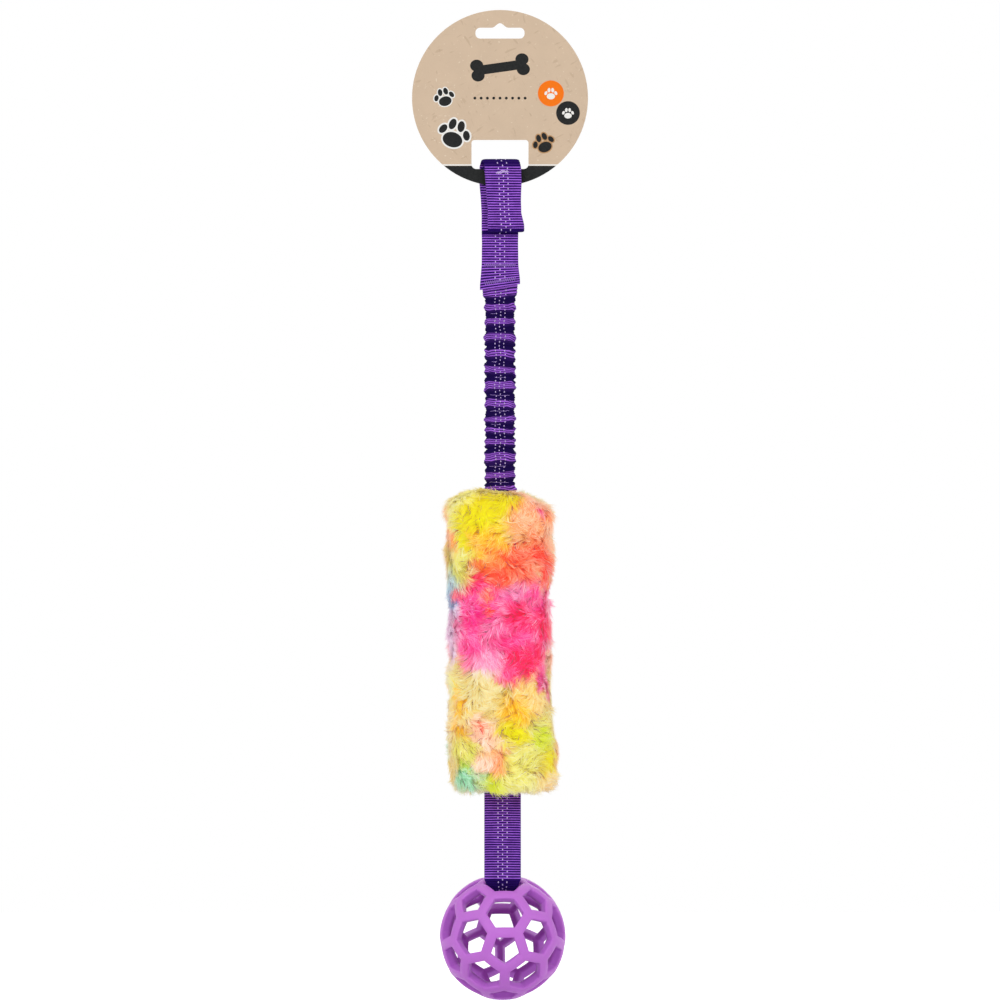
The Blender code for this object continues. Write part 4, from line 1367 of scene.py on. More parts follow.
@dataclass
class GatheredBungee:
    """Tubular webbing gathered in puffs along a flat elastic."""

    webbing: Webbing
    length: float = 145.0 * MM
    puff_width: float = 21.8 * MM
    fold_width: float = 19.2 * MM
    puff_depth: float = 10.2 * MM
    fold_depth: float = 7.0 * MM
    neck_depth: float = 5.0 * MM
    neck_width: float = 4.9 * MM
    neck_tilt: float = 0.15
    neck_pitch: float = 1.8 * MM
    flare: float = 2.6 * MM
    puff_round: float = 2.6
    puff_vary: Numbers = (0.86, 0.18, 2.4, 0.8)
    neck_end: float = 0.085
    neck_calm: float = 0.8
    flare_reach: Numbers = (0.955, 0.045)
    tuck_end: float = 0.014
    tuck_squeeze: float = 0.52
    # neck_lit, lit and under place painted light on the sleeve: a bright band on the neck and in each puff's
    # middle, and a dimmer band below it
    neck_lit: Numbers = (0.045, 0.006)
    under_rib: float = 0.48
    under_painted_light: float = 0.12
    folds: Numbers = (
        0.0, 0.063, 0.130, 0.205, 0.288, 0.362, 0.438, 0.524,
        0.599, 0.662, 0.717, 0.779, 0.865, 0.943, 1.0,
    )
    around: int = 88
    rows: int = 640
    rib_pitch: float = 1.45 * MM
    rib_share: float = 0.72
    square: float = 2.0 / 2.8
    middle_half: float = 10.2 * MM
    tracer_pitch: float = 2.62 * MM
    tuck: float = 0.9 * MM
    neck_share: float = 0.05
    stitched_folds: tuple[int, ...] = (2, 5, 6, 7, 8, 9, 12, 13)
    stitched_spans: tuple[tuple[float, float], ...] = (
        (-5.8, -2.2), (-5.2, -1.0), (-3.0, 5.0), (-6.5, 7.0),
        (-6.5, 7.5), (-5.5, 0.5), (-7.0, 4.0), (-7.0, 6.0),
    )
    fold_lean: float = 0.014
    fold_shade: float = 0.9
    # The bright and the dimmer band of painted light in each puff, as shares of the puff
    lit: Numbers = (0.22, 0.10, 0.76, 0.10)
    under: Numbers = (0.16, 0.10, 0.98, 0.16)
    rib_height: float = 0.30 * MM
    ruck_height: float = 0.35 * MM
    lobe_height: float = 0.55 * MM
    elastic_half: float = 8.1 * MM
    elastic_thick: float = 0.88 * MM
    core_height: float = 0.10 * MM

    def build(self, looks: "Looks") -> list[Object]:
        """Builds the sleeve, its tracer thread and the elastic in it, in two parts: the neck and the rest."""
        share = np.linspace(0.0, 1.0, self.rows)
        points, rib, painted_light = self._surface(share[:, None], turns_round(self.around)[None, :])
        cut = int(np.searchsorted(share, self.neck_share))
        level = SLEEVE_TOP - self.length * share[cut]
        lowest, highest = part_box("bungee_elastic")
        near, past = 2.0 * MM, 1.0 * MM
        neck = (Body.HANDLE.value, Body.BUNGEE.value, (0, 0, SLEEVE_TOP - near), (0, 0, level + past))
        rest = (Body.BUNGEE.value, Body.PLUSH.value, (0, 0, level - past), (0, 0, SLEEVE_BOTTOM))
        gathers = self._gathers()
        put_on(gathers, looks.gather)
        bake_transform(gathers)
        pieces = [gathers]
        for part, rows, bounds, levels, bend in (
            ("neck", slice(0, cut + 1), (0.0, share[cut]), (highest[2], level), neck),
            ("sleeve", slice(cut, None), (share[cut], 1.0), (level, lowest[2]), rest),
        ):
            sleeve = mesh_object(
                f"gathered_{part}", points[rows], [tube_faces(len(points[rows]), self.around)],
                {"rib": rib[rows].ravel(), "painted_light": painted_light[rows].ravel()},
            )
            tracer = self._tracer(f"{part}_tracer", *bounds)
            elastic = self._elastic(f"{part}_elastic", *levels)
            for piece, finish, slot in (
                (sleeve, looks.gathered, "gathered_webbing"), (tracer, looks.tracer, "gathered_webbing"),
                (elastic, looks.elastic, "elastic"),
            ):
                put_on(piece, finish)
                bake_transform(piece)
                pieces.append(piece)
        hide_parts("bungee_sleeve")
        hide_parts("bungee_elastic")
        return pieces

    def _surface(self, share: Array, angle: Array) -> tuple[Array, Array, Array]:
        """The sleeve's surface.

        Args:
            share: How far down the sleeve, from 0 to 1.
            angle: The angle round it.

        Returns:
            The points, the rib mark and the painted light mark.
        """
        share, angle = np.broadcast_arrays(share, angle)
        shape = share.shape
        cos, sin = np.cos(angle), np.sin(angle)
        seed = np.stack([cos.ravel() * 1.1, sin.ravel() * 1.1, share.ravel() * 16.0], axis=1)
        lean = lattice_noise(seed, 1.0, 21).reshape(shape) * self.fold_lean
        ruck = lattice_noise(seed * 2.3, 1.0, 22).reshape(shape)
        moved = np.clip(share + lean * np.sin(share * math.pi) ** 0.3, 0.0, 1.0)
        folds = np.array(self.folds)
        number = np.clip(np.searchsorted(folds, moved, side="right") - 1, 0, len(folds) - 2)
        part = (moved - folds[number]) / (folds[number + 1] - folds[number])
        puff = np.clip(1.0 - np.abs(2.0 * part - 1.0) ** self.puff_round, 0.0, 1.0)
        middle, swing, turn, start = self.puff_vary
        puff = puff * (middle + swing * np.sin(number * turn + start))
        neck = smoothstep(1.0 - share / self.neck_end)
        puff = puff * (1.0 - self.neck_calm * neck)
        flare = smoothstep((share - self.flare_reach[0]) / self.flare_reach[1])
        half_width = (self.fold_width + (self.puff_width - self.fold_width) * puff) / 2
        half_width = half_width + (self.flare * flare + self.neck_width * neck) / 2
        half_depth = (self.fold_depth + (self.puff_depth - self.fold_depth) * puff) / 2
        half_depth = half_depth * (1 - neck) + neck * self.neck_depth / 2
        tucked = smoothstep(1.0 - share / self.tuck_end)
        half_depth = half_depth * (1 - self.tuck_squeeze * tucked)
        x = half_width * squared(cos, self.square)
        y = half_depth * squared(sin, self.square)
        phase = moved * self.length / self.rib_pitch + 0.5 * ruck
        on_neck = share < self.neck_share
        phase = np.where(on_neck, share * self.length / self.neck_pitch + 0.12 * ruck, phase)
        rib = crest(phase, self.rib_share)
        out = unit(np.stack([x / half_width ** 2, y / half_depth ** 2, np.zeros(shape)], axis=-1))
        edge = np.abs(cos) ** 4
        lobes = self.lobe_height * edge * np.sin(part * 4 * math.pi + number) * (1.0 - neck)
        swell = (rib - 0.5) * self.rib_height + ruck * self.ruck_height + lobes
        swell = swell * (1.0 - self.fold_shade * tucked)
        level = SLEEVE_TOP - self.length * share + self.neck_tilt * x * neck + self.tuck * tucked
        points = np.stack([x, y, level], axis=-1) + out * swell[..., None]
        # Painted light: a bright band in each puff and on the neck, a dimmer band below it, and painted shade
        # in the folds, where the ribs drop to the gap's colour
        at_neck = smoothstep((self.neck_lit[0] - share) / self.neck_lit[1])
        lit = np.maximum(hump(part, *self.lit), at_neck)
        under = hump(part, *self.under)
        painted_light = np.clip(lit * (0.85 + 0.3 * ruck) * (0.12 + 0.88 * rib ** 2), 0.0, 1.0)
        woven = np.where(on_neck, rib, 0.36 + 0.64 * rib)
        return (
            points, np.maximum(woven * lit, self.under_rib * under),
            np.maximum(painted_light, self.under_painted_light * under),
        )

    def _on_face(self, share: float, x: float, face: float) -> tuple[Array, Array, Array]:
        """A place on the sleeve's front or back face.

        Args:
            share: How far down the sleeve.
            x: How far from its middle.
            face: -1 in front, 1 behind.

        Returns:
            The place, the direction down the face there and the direction out of it.
        """
        turn = math.copysign(math.pi / 2, face)
        for _ in range(12):
            cos = math.cos(turn)
            turn += (self.middle_half * math.copysign(abs(cos) ** self.square, cos) - x) * face * 18.0
        before, place, after = (
            self._surface(np.array([[share + change]]), np.array([[turn]]))[0][0, 0]
            for change in (-0.002, 0.0, 0.002)
        )
        run = unit(after - before)
        lift = unit(np.cross(run, ALONG_X))
        return place, run, lift * math.copysign(1.0, lift[1] * face)

    def _tracer(self, name: str, first: float, last: float) -> Object:
        """The tracer thread's stitches down both faces of the sleeve.

        Args:
            name: The piece's name.
            first: The share of the sleeve where the stitches start.
            last: The share where they end.

        Returns:
            The stitches as one object.
        """
        draw = np.random.default_rng(7)
        laid = Stitches(1.35 * MM, self.webbing.tracer_width)
        for face in (-1.0, 1.0):
            for number, row in enumerate(self.webbing.tracer_rows):
                for step in range(1, int(self.length / self.tracer_pitch) - 1):
                    stray = draw.normal(0.0, 0.06)
                    share = (step + 0.5 * (number % 2) + stray) * self.tracer_pitch / self.length
                    if first <= share < last:
                        x = row + 0.55 * MM * math.sin(share * 62.0)
                        place, run, lift = self._on_face(share, x, face)
                        laid.lay(place + lift * 0.14 * MM, run, lift)
        return laid.build(name)

    def _gathers(self) -> Object:
        """The thread that shows across the deep folds, where it holds the sleeve to the elastic."""
        draw = np.random.default_rng(9)
        laid = Stitches(2.5 * MM, 0.15 * MM)
        for number, (left, right) in zip(self.stitched_folds, self.stitched_spans):
            for face in (-1.0, 1.0):
                for x in np.arange(left, right, 2.1):
                    share = self.folds[number] + draw.normal(0.0, 0.0014) - 0.002
                    place, _, lift = self._on_face(share, x * MM, face)
                    run = unit(np.array((1.0, 0.0, draw.normal(0.0, 0.16))))
                    laid.lay(place + lift * 0.16 * MM, run, lift)
        return laid.build("sleeve_gathers")

    def _elastic(self, name: str, high: float, low: float) -> Object:
        """The flat elastic with its ribbed cores, from one level down to another."""
        rows = max(12, round((high - low) / MM))
        ring = 44
        cos, sin = np.cos(turns_round(ring)), np.sin(turns_round(ring))
        cores = self.core_height * np.cos(cos * 7 * math.pi)
        x = self.elastic_half * squared(cos, 0.5)
        y = (self.elastic_thick + cores) * squared(sin, 0.3)
        z = np.linspace(high, low, rows)
        points = np.stack(np.broadcast_arrays(x[None], y[None], z[:, None]), axis=-1)
        caps = np.array([[n, n + 1, ring - 1 - n, (ring - n) % ring] for n in range(ring // 2)])
        return mesh_object(name, points, [tube_faces(rows, ring), caps[:, ::-1], caps + (rows - 1) * ring])


# Plush tube


@dataclass(frozen=True)
class Variation:
    """How a measure differs from lock to lock: smoothly over the tube, and by chance."""

    middle: float
    swing: float
    size: float
    seed: int
    chance: float
    low: float = -math.inf
    high: float = math.inf

    def draw(self, places: Array, source: np.random.Generator, shift: object = 0.0) -> Array:
        """One value for each place, between low and high.

        Args:
            places: The locks' roots.
            source: The source of chance.
            shift: What is added to the middle.

        Returns:
            The values.
        """
        smooth = self.swing * lattice_noise(places, self.size, self.seed)
        strays = source.normal(0.0, self.chance, len(places))
        return np.clip(self.middle + shift + smooth + strays, self.low, self.high)


@dataclass
class PlushTube:
    """The tie-dyed long-pile tube: its knitted backing and the tufts of its pile."""

    width: float = 75.6 * MM
    depth: float = 58.0 * MM
    sections: tuple[tuple[float, float], ...] = (
        (0.0, 0.80), (0.012, 0.95), (0.04, 1.03), (0.1, 1.05), (0.2, 1.01), (0.35, 0.985), (0.5, 0.99),
        (0.65, 1.005), (0.77, 1.035), (0.85, 1.05), (0.93, 1.03), (0.972, 1.01), (0.993, 0.94), (1.0, 0.74),
    )
    power: float = 2.4
    pile_depth: float = 4.6 * MM
    shoulder_drop: float = 8.0 * MM
    lean: float = 1.1 * MM
    locks: int = 12500
    fibres_a_lock: int = 10
    fibre_length: float = 9.8 * MM
    fibre_width: float = 0.36 * MM
    strand_width: float = 0.72 * MM
    strand_share: float = 0.26
    lock_spread: float = 1.25 * MM
    stray: float = 0.07
    taper: Numbers = (0.45, 0.5, 0.38)
    joints: Numbers = (0.0, 0.3, 0.62, 1.0)
    flow_size: float = 27.0 * MM
    flow_swing: float = 2.3
    swirl: Variation = Variation(0.0, 1.5, 11.0 * MM, 42, 0.2)
    curl: Variation = Variation(0.0, 1.5, 9.0 * MM, 46, 0.25)
    lift: Variation = Variation(0.55, 0.30, 13.0 * MM, 43, 0.08, 0.2, 1.1)
    growth: Variation = Variation(1.0, 0.22, 14.0 * MM, 44, 0.10, 0.6, 1.5)
    tone: Variation = Variation(0.0, 0.9, 11.0 * MM, 45, 0.32, -1.0, 1.0)
    rise: Numbers = (0.95, 0.52)
    slide: Numbers = (0.30, 0.56)
    gather: Numbers = (0.68, 1.2)
    weight: Numbers = (0.0, 0.0, -0.12)
    deepest: float = -1.2 * MM
    cloth: float = 0.6 * MM
    around: int = 160
    rows: int = 260
    seed: int = 20

    def profile(self) -> Array:
        """The tube's sections from mouth to mouth, as rows of height, half width, half depth and power."""
        length = PLUSH_TOP - PLUSH_BOTTOM
        inset = self.pile_depth
        given = [(PLUSH_TOP - 4.2 * MM, 11.4 * MM, 5.6 * MM, 2.8)]
        for height, girth in self.sections:
            z = PLUSH_TOP - inset * 0.7 - (length - 1.4 * inset) * height
            given.append((z, self.width / 2 * girth - inset, self.depth / 2 * girth - inset, self.power))
        given.append((PLUSH_BOTTOM + 4.2 * MM, 13.6 * MM, 3.4 * MM, 4.0))
        table = np.array(given)
        lengths = travelled(table[:, :2])
        return sampled(table, lengths, np.linspace(0.0, lengths[-1], self.rows), 5)

    def surface(self) -> tuple[Array, Array]:
        """The backing's points and outward normals, as rows round the tube."""
        rows = self.profile()
        angle = turns_round(self.around)[None]
        power = 2.0 / rows[:, 3:4]
        x = rows[:, 1:2] * squared(np.cos(angle), power)
        y = rows[:, 2:3] * squared(np.sin(angle), power)
        points = np.stack([x, y, np.broadcast_to(rows[:, 0:1], x.shape)], axis=-1)
        down = (PLUSH_TOP - points[..., 2]) / (PLUSH_TOP - PLUSH_BOTTOM)
        points[..., 0] += BALL_PLACE.x * smoothstep(down)
        points[..., 0] -= self.lean * smoothstep((down - 0.05) / 0.1) * smoothstep((0.9 - down) / 0.2)
        top = smoothstep(1.0 - (PLUSH_TOP - points[..., 2]) / (42.0 * MM))
        points[..., 2] -= self.shoulder_drop * top * smoothstep((points[..., 0] - 6.0 * MM) / (32.0 * MM))
        normals = self._normals(points)
        flat = points.reshape(-1, 3)
        lumps = lattice_noise(flat, 17.0 * MM, 31) * 2.3 * MM + lattice_noise(flat, 8.5 * MM, 32) * 1.1 * MM
        lumps = np.maximum(lumps, self.deepest)
        points = self._over_wadding(points + normals * lumps.reshape(points.shape[:2])[..., None])
        return points, self._normals(points)

    def _over_wadding(self, points: Array) -> Array:
        """The same points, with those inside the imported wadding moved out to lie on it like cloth."""
        tree = BVHTree.FromObject(frame["nodes"]["plush_wadding"], bpy.context.evaluated_depsgraph_get())
        for place in points.reshape(-1, 3):
            near, outward, _, _ = tree.find_nearest(Vector(place))
            short = self.cloth - (Vector(place) - near).dot(outward)
            place += max(0.0, short) * np.array(outward)
        return points

    @staticmethod
    def _normals(points: Array) -> Array:
        """Outward normals of a grid of points that closes round each row."""
        down = np.gradient(points, axis=0)
        along = np.roll(points, -1, axis=1) - np.roll(points, 1, axis=1)
        return unit(np.cross(along, -down))

    def build(self, looks: "Looks") -> list[Object]:
        """Builds the backing and the pile."""
        points, normals = self.surface()
        backing = mesh_object("plush_backing", points, [tube_faces(self.rows, self.around)])
        dress(backing, looks.backing, Body.PLUSH, "fur_fabric", "plush_cover")
        return [backing, *self._pile(points, normals, looks)]

    def _scatter(
        self, points: Array, normals: Array, count: int, draw: np.random.Generator
    ) -> tuple[Array, Array, Array]:
        """Roots spread evenly over the backing.

        Args:
            points: The backing's points.
            normals: Its normals.
            count: The number of roots.
            draw: The source of chance.

        Returns:
            The roots, their normals and the direction down the tube at each.
        """
        right = np.roll(points, -1, axis=1)
        area = np.linalg.norm(np.cross(right[:-1] - points[:-1], points[1:] - points[:-1]), axis=-1)
        chance = area.ravel() / area.sum()
        cells = draw.choice(len(chance), size=count, p=chance)
        row, column = np.divmod(cells, self.around)
        beside = (column + 1) % self.around
        u, v = draw.random((2, count, 1))
        roots = (
            (points[row, column] * (1 - u) + points[row, beside] * u) * (1 - v)
            + (points[row + 1, column] * (1 - u) + points[row + 1, beside] * u) * v
        )
        down = unit(points[row + 1, column] - points[row, column])
        return roots, normals[row, column], down

    def _pile(self, points: Array, normals: Array, looks: "Looks") -> list[Object]:
        """The pile's fibres, drawn together in locks that flow over the tube, in bands from the top down."""
        draw = np.random.default_rng(self.seed)
        heart, out, down = self._scatter(points, normals, self.locks, draw)
        across = np.cross(out, down)
        flow = lattice_noise(heart, self.flow_size, 41) * self.flow_swing
        swirl = self.swirl.draw(heart, draw, flow)
        curl, lift = self.curl.draw(heart, draw), self.lift.draw(heart, draw)
        size = self.fibre_length * self.growth.draw(heart, draw)
        tone = self.tone.draw(heart, draw)
        own = np.repeat(np.arange(self.locks), self.fibres_a_lock)
        count = len(own)
        spread = draw.normal(0.0, self.lock_spread, (count, 2))
        offset = down[own] * spread[:, :1] + across[own] * spread[:, 1:]
        stray = draw.normal(0.0, self.stray, (count, 3))
        reach = size[own] * (0.78 + 0.34 * draw.random(count))
        shares = np.array(self.joints)
        lines = []
        for share in shares:
            turn = (swirl + curl * share)[:, None]
            lay = unit(down * np.cos(turn) + across * np.sin(turn) + np.array(self.weight))
            rise = lift * (self.rise[0] * share - self.rise[1] * share ** 2)
            slide = self.slide[0] * share + self.slide[1] * share ** 2
            step = out * rise[:, None] + lay * slide
            gather = 1.0 - self.gather[0] * share ** self.gather[1]
            lines.append(heart[own] + offset * gather + reach[:, None] * (step[own] + stray * share))
        anchor = heart[own] + offset * 0.5
        shade = out[own] + lay[own] * 0.22 + np.array((0.0, 0.0, 0.15))
        shade = unit(shade + draw.normal(0.0, 0.17, (count, 3)))
        strand = draw.random(count) < self.strand_share
        thick = np.where(strand, self.strand_width, self.fibre_width)
        tones = tone[own] + draw.normal(0.0, 1.0, count) * np.where(strand, 0.85, 0.25)
        tones = np.clip(tones, -1.8, 0.9)
        order = np.argsort(-heart[own][:, 2], kind="stable")
        names = ("pile_shoulder", "pile_upper", "pile_lower", "pile_hem")
        pieces = []
        for name, band in zip(names, np.array_split(order, len(names))):
            marks = {"root": anchor[band], "tuft": tones[band]}
            own_lines = [line[band] for line in lines]
            piece = self._fibres(name, own_lines, out[own][band], shade[band], marks, shares, thick[band])
            pieces.append(dress(piece, looks.pile, Body.PLUSH, "fur_fabric"))
        return pieces

    def _fibres(
        self, name: str, lines: list[Array], out: Array, shade: Array,
        marks: dict[str, Array], shares: Array, thick: Array,
    ) -> Object:
        """Flat fibres that taper to a point, shaded with the lie of the pile.

        Args:
            name: The piece's name.
            lines: The fibres' places at each share of their length.
            out: The backing's outward direction at each fibre.
            shade: The direction that each fibre is shaded by.
            marks: The marks of each fibre.
            shares: The shares of the length.
            thick: The width of each fibre.

        Returns:
            The fibres as one object.
        """
        side = unit(np.cross(unit(lines[-1] - lines[0]), out))
        corners = []
        for line, share in zip(lines[:-1], self.taper):
            for turn in (-1.0, 1.0):
                corners.append(line + side * (turn * share * thick)[:, None])
        corners.append(lines[-1])
        cloud = np.stack(corners, axis=1)
        count, each = cloud.shape[:2]
        given = {mark: np.repeat(values, each, axis=0) for mark, values in marks.items()}
        given["along"] = np.tile(np.append(np.repeat(shares[:-1], 2), 1.0), count)
        blade, tip = ((0, 1, 3, 2), (2, 3, 5, 4)), ((4, 5, 6),)
        piece = mesh_object(name, cloud, repeated(count, each, blade, tip), given)
        piece.data.normals_split_custom_set_from_vertices(np.repeat(shade, each, axis=0))
        return piece


# Ball


@dataclass
class LatticeBall:
    """The hollow rubber ball of struts round hexagon and pentagon openings."""

    radius: float = 44.1 * MM
    wall: float = 7.2 * MM
    strut: float = 8.2 * MM
    crown: float = 0.5 * MM
    rounding: float = 1.3 * MM
    ridge: float = 1.0 * MM
    inner_share: float = 0.5
    corner_angles: Numbers = (20.0, 42.0, 56.5, 79.0, 90.0)
    ring_share: float = 0.8
    tilt: float = math.radians(-10.7)
    turn: float = math.radians(2.5)
    weld: float = 0.01 * MM

    def _facing(self, bm: bmesh.types.BMesh) -> Matrix:
        """The turn that brings one five-sided face to the front, with its neighbour above it."""
        pentagon = next(face for face in bm.faces if len(face.verts) == 5)
        near = max(
            (face for face in bm.faces if len(face.verts) == 6),
            key=lambda face: face.calc_center_median().dot(pentagon.calc_center_median()),
        )
        forward = pentagon.calc_center_median().normalized()
        towards = near.calc_center_median()
        up = (towards - forward * towards.dot(forward)).normalized()
        return Matrix((up.cross(forward), -forward, up)).to_4x4()

    def _settle(self, place: Vector) -> Vector:
        """The place of a corner of the front half, which lies at one of five angles from its axis."""
        fifth = 2 * math.pi / 5
        polar = math.degrees(math.acos(max(-1.0, min(1.0, -place.y / place.length))))
        polar = math.radians(min(self.corner_angles, key=lambda angle: abs(angle - polar)))
        around = math.atan2(place.x, place.z)
        if abs(place.y) < self.weld:
            middle = round(around / fifth) * fifth
            around = middle + (around - middle) * self.ring_share
        out = math.sin(polar)
        return self.radius * Vector((out * math.sin(around), -math.cos(polar), out * math.cos(around)))

    def _cage(self) -> bmesh.types.BMesh:
        """The struts' middle lines: half a truncated icosahedron, a ring, and the half mirrored."""
        bm = bmesh.new()
        bmesh.ops.create_icosphere(bm, subdivisions=1, radius=self.radius)
        third = bm.edges[:][0].calc_length() / 3
        bmesh.ops.bevel(
            bm, geom=bm.verts[:], offset=third, offset_type="OFFSET", affect="VERTICES", segments=1,
            profile=0.5,
        )
        bmesh.ops.remove_doubles(bm, verts=bm.verts, dist=self.weld)
        bm.transform(self._facing(bm))
        whole = bm.verts[:] + bm.edges[:] + bm.faces[:]
        bmesh.ops.bisect_plane(bm, geom=whole, plane_co=(0, 0, 0), plane_no=(0, 1, 0), clear_outer=True)
        for vert in bm.verts:
            vert.co = self._settle(vert.co)
        half = bm.verts[:] + bm.edges[:] + bm.faces[:]
        bmesh.ops.mirror(bm, geom=half, axis="Y", merge_dist=self.weld)
        joined = [
            edge for edge in bm.edges
            if all(abs(vert.co.y) < self.weld for vert in edge.verts)
            and all(len(face.verts) == 4 for face in edge.link_faces)
        ]
        bmesh.ops.dissolve_edges(bm, edges=joined, use_verts=False)
        bmesh.ops.recalc_face_normals(bm, faces=bm.faces[:])
        bm.transform(Matrix.Rotation(self.turn, 4, "Z") @ Matrix.Rotation(-self.tilt, 4, "X"))
        bm.normal_update()
        return bm

    def _sheet(self, cuts: int) -> bmesh.types.BMesh:
        """The struts as a sheet on the sphere."""
        bm = self._cage()
        marks = bm.edges.layers.int.new("centre_line")
        for edge in bm.edges:
            edge[marks] = 1
        faces = bm.faces[:]
        bmesh.ops.inset_individual(bm, faces=faces, thickness=self.strut / 2, use_even_offset=True)
        bmesh.ops.delete(bm, geom=faces, context="FACES_ONLY")
        lengthwise = [edge for edge in bm.edges if edge.is_boundary or edge[marks]]
        bmesh.ops.subdivide_edges(bm, edges=lengthwise, cuts=cuts, use_grid_fill=True)
        for vert in bm.verts:
            vert.co = vert.co.normalized() * self.radius
        bm.normal_update()
        return bm

    def build(self, looks: "Looks") -> list[Object]:
        """Builds the ball."""
        bm = self._sheet(7)
        bmesh.ops.solidify(bm, geom=bm.faces[:], thickness=self.wall)
        inner = {vert for vert in bm.verts if vert.co.length < self.radius - self.wall / 2}
        rim = {
            vert for edge in bm.edges if len(inner.intersection(edge.verts)) == 1 for vert in edge.verts
        }
        for vert in bm.verts:
            vert.co = vert.co.normalized() * (self.radius - self.wall if vert in inner else self.radius)
        for vert in rim:
            reach = self.radius - self.crown
            if vert in inner:
                middle = next(
                    edge.other_vert(vert) for edge in vert.link_edges
                    if edge.other_vert(vert) in inner and edge.other_vert(vert) not in rim
                )
                vert.co = middle.co.lerp(vert.co, self.inner_share)
                reach = self.radius - self.wall
            vert.co = vert.co.normalized() * reach
        for vert in inner - rim:
            vert.co = vert.co.normalized() * (self.radius - self.wall - self.ridge)
        weights = bm.edges.layers.float.new("bevel_weight_edge")
        for edge in bm.edges:
            if len(inner.intersection(edge.verts)) != 1 and rim.issuperset(edge.verts):
                edge[weights] = 1.0
        mesh = bpy.data.meshes.new("lattice")
        bm.to_mesh(mesh)
        bm.free()
        mesh.transform(Matrix.Translation(BALL_PLACE))
        rough = placed("lattice_cage", mesh)
        rounding = rough.modifiers.new("Rim rounding", "BEVEL")
        rounding.limit_method = "WEIGHT"
        rounding.width = self.rounding
        rounding.segments = 5
        rounding.harden_normals = True
        bpy.context.view_layer.update()
        evaluated = rough.evaluated_get(bpy.context.evaluated_depsgraph_get())
        ball = placed("moulded_ball", bpy.data.meshes.new_from_object(evaluated))
        bpy.data.objects.remove(rough)
        ball.data.shade_smooth()
        return [dress(ball, looks.rubber, Body.BALL, "orchid_rubber", "lattice_ball")]


# Looks and studio


class Looks:
    """Every finish of the toy, made once."""

    def __init__(self, ball: LatticeBall) -> None:
        """Builds the shared effects and the materials. Args: ball is the ball, for its radius and wall."""
        effects = Effects()
        self.webbing = RibbedWebbing().make(effects, "ribbed_webbing")
        # The gathered webbing's ground colour is the painted shade of its folds and rib gaps
        self.gathered = RibbedWebbing(
            bright=(0.41, 0.135, 0.77), shaded=(0.05, 0.003, 0.19), ground=(0.008, 0.0, 0.06), roughness=0.6
        ).make(effects, "gathered_webbing")
        self.tracer = TwistedThread((0.66, 0.50, 0.88), 0.35, 0.3).make(effects, "tracer_thread")
        self.gather = TwistedThread((0.42, 0.26, 0.72), 0.4, 0.2).make(effects, "gather_thread")
        self.thread = TwistedThread((0.26, 0.11, 0.52), 0.45, 0.2).make(effects, "bar_thread")
        self.elastic = BraidedElastic().make(effects)
        pile = DyedPile()
        self.pile = pile.make(effects)
        self.backing = pile.make_backing(effects)
        self.wadding = PolyesterWadding().make(effects)
        self.rubber = MouldedRubber().make(BALL_PLACE, ball.radius, ball.radius - ball.wall)
        self.card = KraftPrint().make(effects)


@dataclass
class CarriedNodes:
    """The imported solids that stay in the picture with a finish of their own."""

    nodes: dict[str, Object]

    def build(self, looks: Looks) -> list[Object]:
        """Dresses the card and the wadding."""
        pieces = []
        for name, finish in (("header_card", looks.card), ("plush_wadding", looks.wadding)):
            node = self.nodes[name]
            for slot in node.material_slots:
                slot.material = finish
            pieces.append(node)
        return pieces


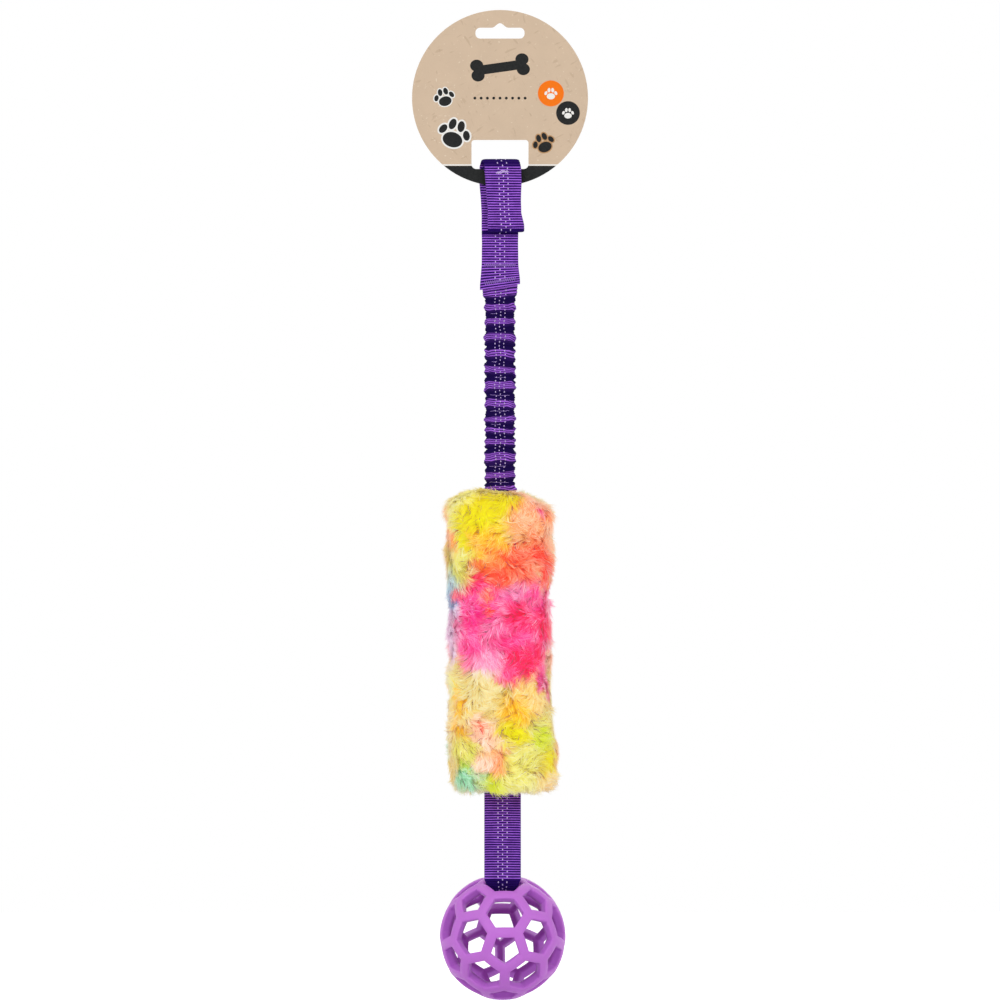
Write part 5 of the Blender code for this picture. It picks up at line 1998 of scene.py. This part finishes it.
@dataclass
class Studio:
    """The floor, the lamps, the world and the camera."""

    view_width: float = 0.700
    view_z: float = -0.3338
    distance: float = 11.7
    floor_z: float = -0.697
    floor_tone: float = 0.82
    floor_glow: float = 0.56
    ambient: float = 0.62
    sensor: float = 36.0
    lamps: tuple[tuple[str, tuple[float, float, float], float, float], ...] = (
        ("key_lamp", (-1.3, -2.2, 0.9), 1.6, 21.0), ("fill_lamp", (1.7, -1.9, 0.1), 1.8, 12.0),
        ("back_lamp", (0.3, 2.0, 0.8), 1.6, 12.0),
    )

    def build(self) -> None:
        """Builds the studio."""
        self._floor()
        self._world()
        for lamp in self.lamps:
            self._lamp(*lamp)
        self._camera()

    def _floor(self) -> None:
        """A plain pale floor under the ball."""
        points = np.array([(-3, -3, 0), (3, -3, 0), (3, 3, 0), (-3, 3, 0)], float)
        points[:, 2] = self.floor_z
        floor = mesh_object("studio_floor", points, [np.array([[0, 1, 2, 3]])])
        sheet = MaterialSheet("pale_floor")
        board = sheet.shader.outputs[0]
        glow = sheet.add("Emission", {"Color": (1.0, 1.0, 1.0), "Strength": self.floor_glow})
        both = sheet.add("AddShader", {0: board, 1: glow.outputs[0]})
        switch = sheet.add("MixShader", {0: sheet.seen(), 1: board, 2: both.outputs[0]})
        sheet.fill(sheet.tree.nodes["Material Output"], {"Surface": switch.outputs[0]})
        floor.data.materials.append(sheet.coat({"Base Color": (self.floor_tone,) * 3, "Roughness": 0.9}))

    def _world(self) -> None:
        """White behind the toy, and a softer white that lights it."""
        world = bpy.data.worlds.new("studio")
        world.use_nodes = True
        bpy.context.scene.world = world
        sheet = NodeSheet(world.node_tree)
        strength = sheet.span(sheet.seen(), 0.0, 1.0, self.ambient, 1.0)
        sheet.fill(world.node_tree.nodes["Background"], {"Color": (1.0, 1.0, 1.0), "Strength": strength})

    def _lamp(self, name: str, place: tuple[float, float, float], size: float, power: float) -> None:
        """A square soft lamp that points at the toy's middle."""
        lamp = bpy.data.lights.new(name, "AREA")
        lamp.size = size
        lamp.energy = power
        holder = placed(name, lamp)
        holder.location = place
        aim = Vector((0.0, 0.0, self.view_z)) - Vector(place)
        holder.rotation_euler = aim.to_track_quat("-Z", "Y").to_euler()

    def _camera(self) -> None:
        """A long lens straight in front, framed as the photograph is."""
        camera = bpy.data.cameras.new("view")
        camera.sensor_width = self.sensor
        camera.lens = self.sensor * self.distance / self.view_width
        camera.clip_end = 50.0
        holder = placed("view", camera)
        holder.location = (0.0, -self.distance, self.view_z)
        holder.rotation_euler = (math.pi / 2, 0.0, 0.0)
        bpy.context.scene.camera = holder


def main() -> None:
    """Builds every sub-assembly in order and reports its pieces."""
    logging.basicConfig(level=logging.INFO, format="%(message)s")
    bpy.context.scene.view_settings.view_transform = "Standard"
    Studio().build()
    ball, webbing = LatticeBall(), Webbing()
    looks = Looks(ball)
    for part in (
        CarriedNodes(frame["nodes"]), HandleLoop(webbing), GatheredBungee(webbing), PlushTube(),
        BallStrap(webbing, ball), ball,
    ):
        for piece in part.build(looks):
            LOG.info("%s: %s, %d faces", type(part).__name__, piece.name, len(piece.data.polygons))


if __name__ == "__main__":
    main()
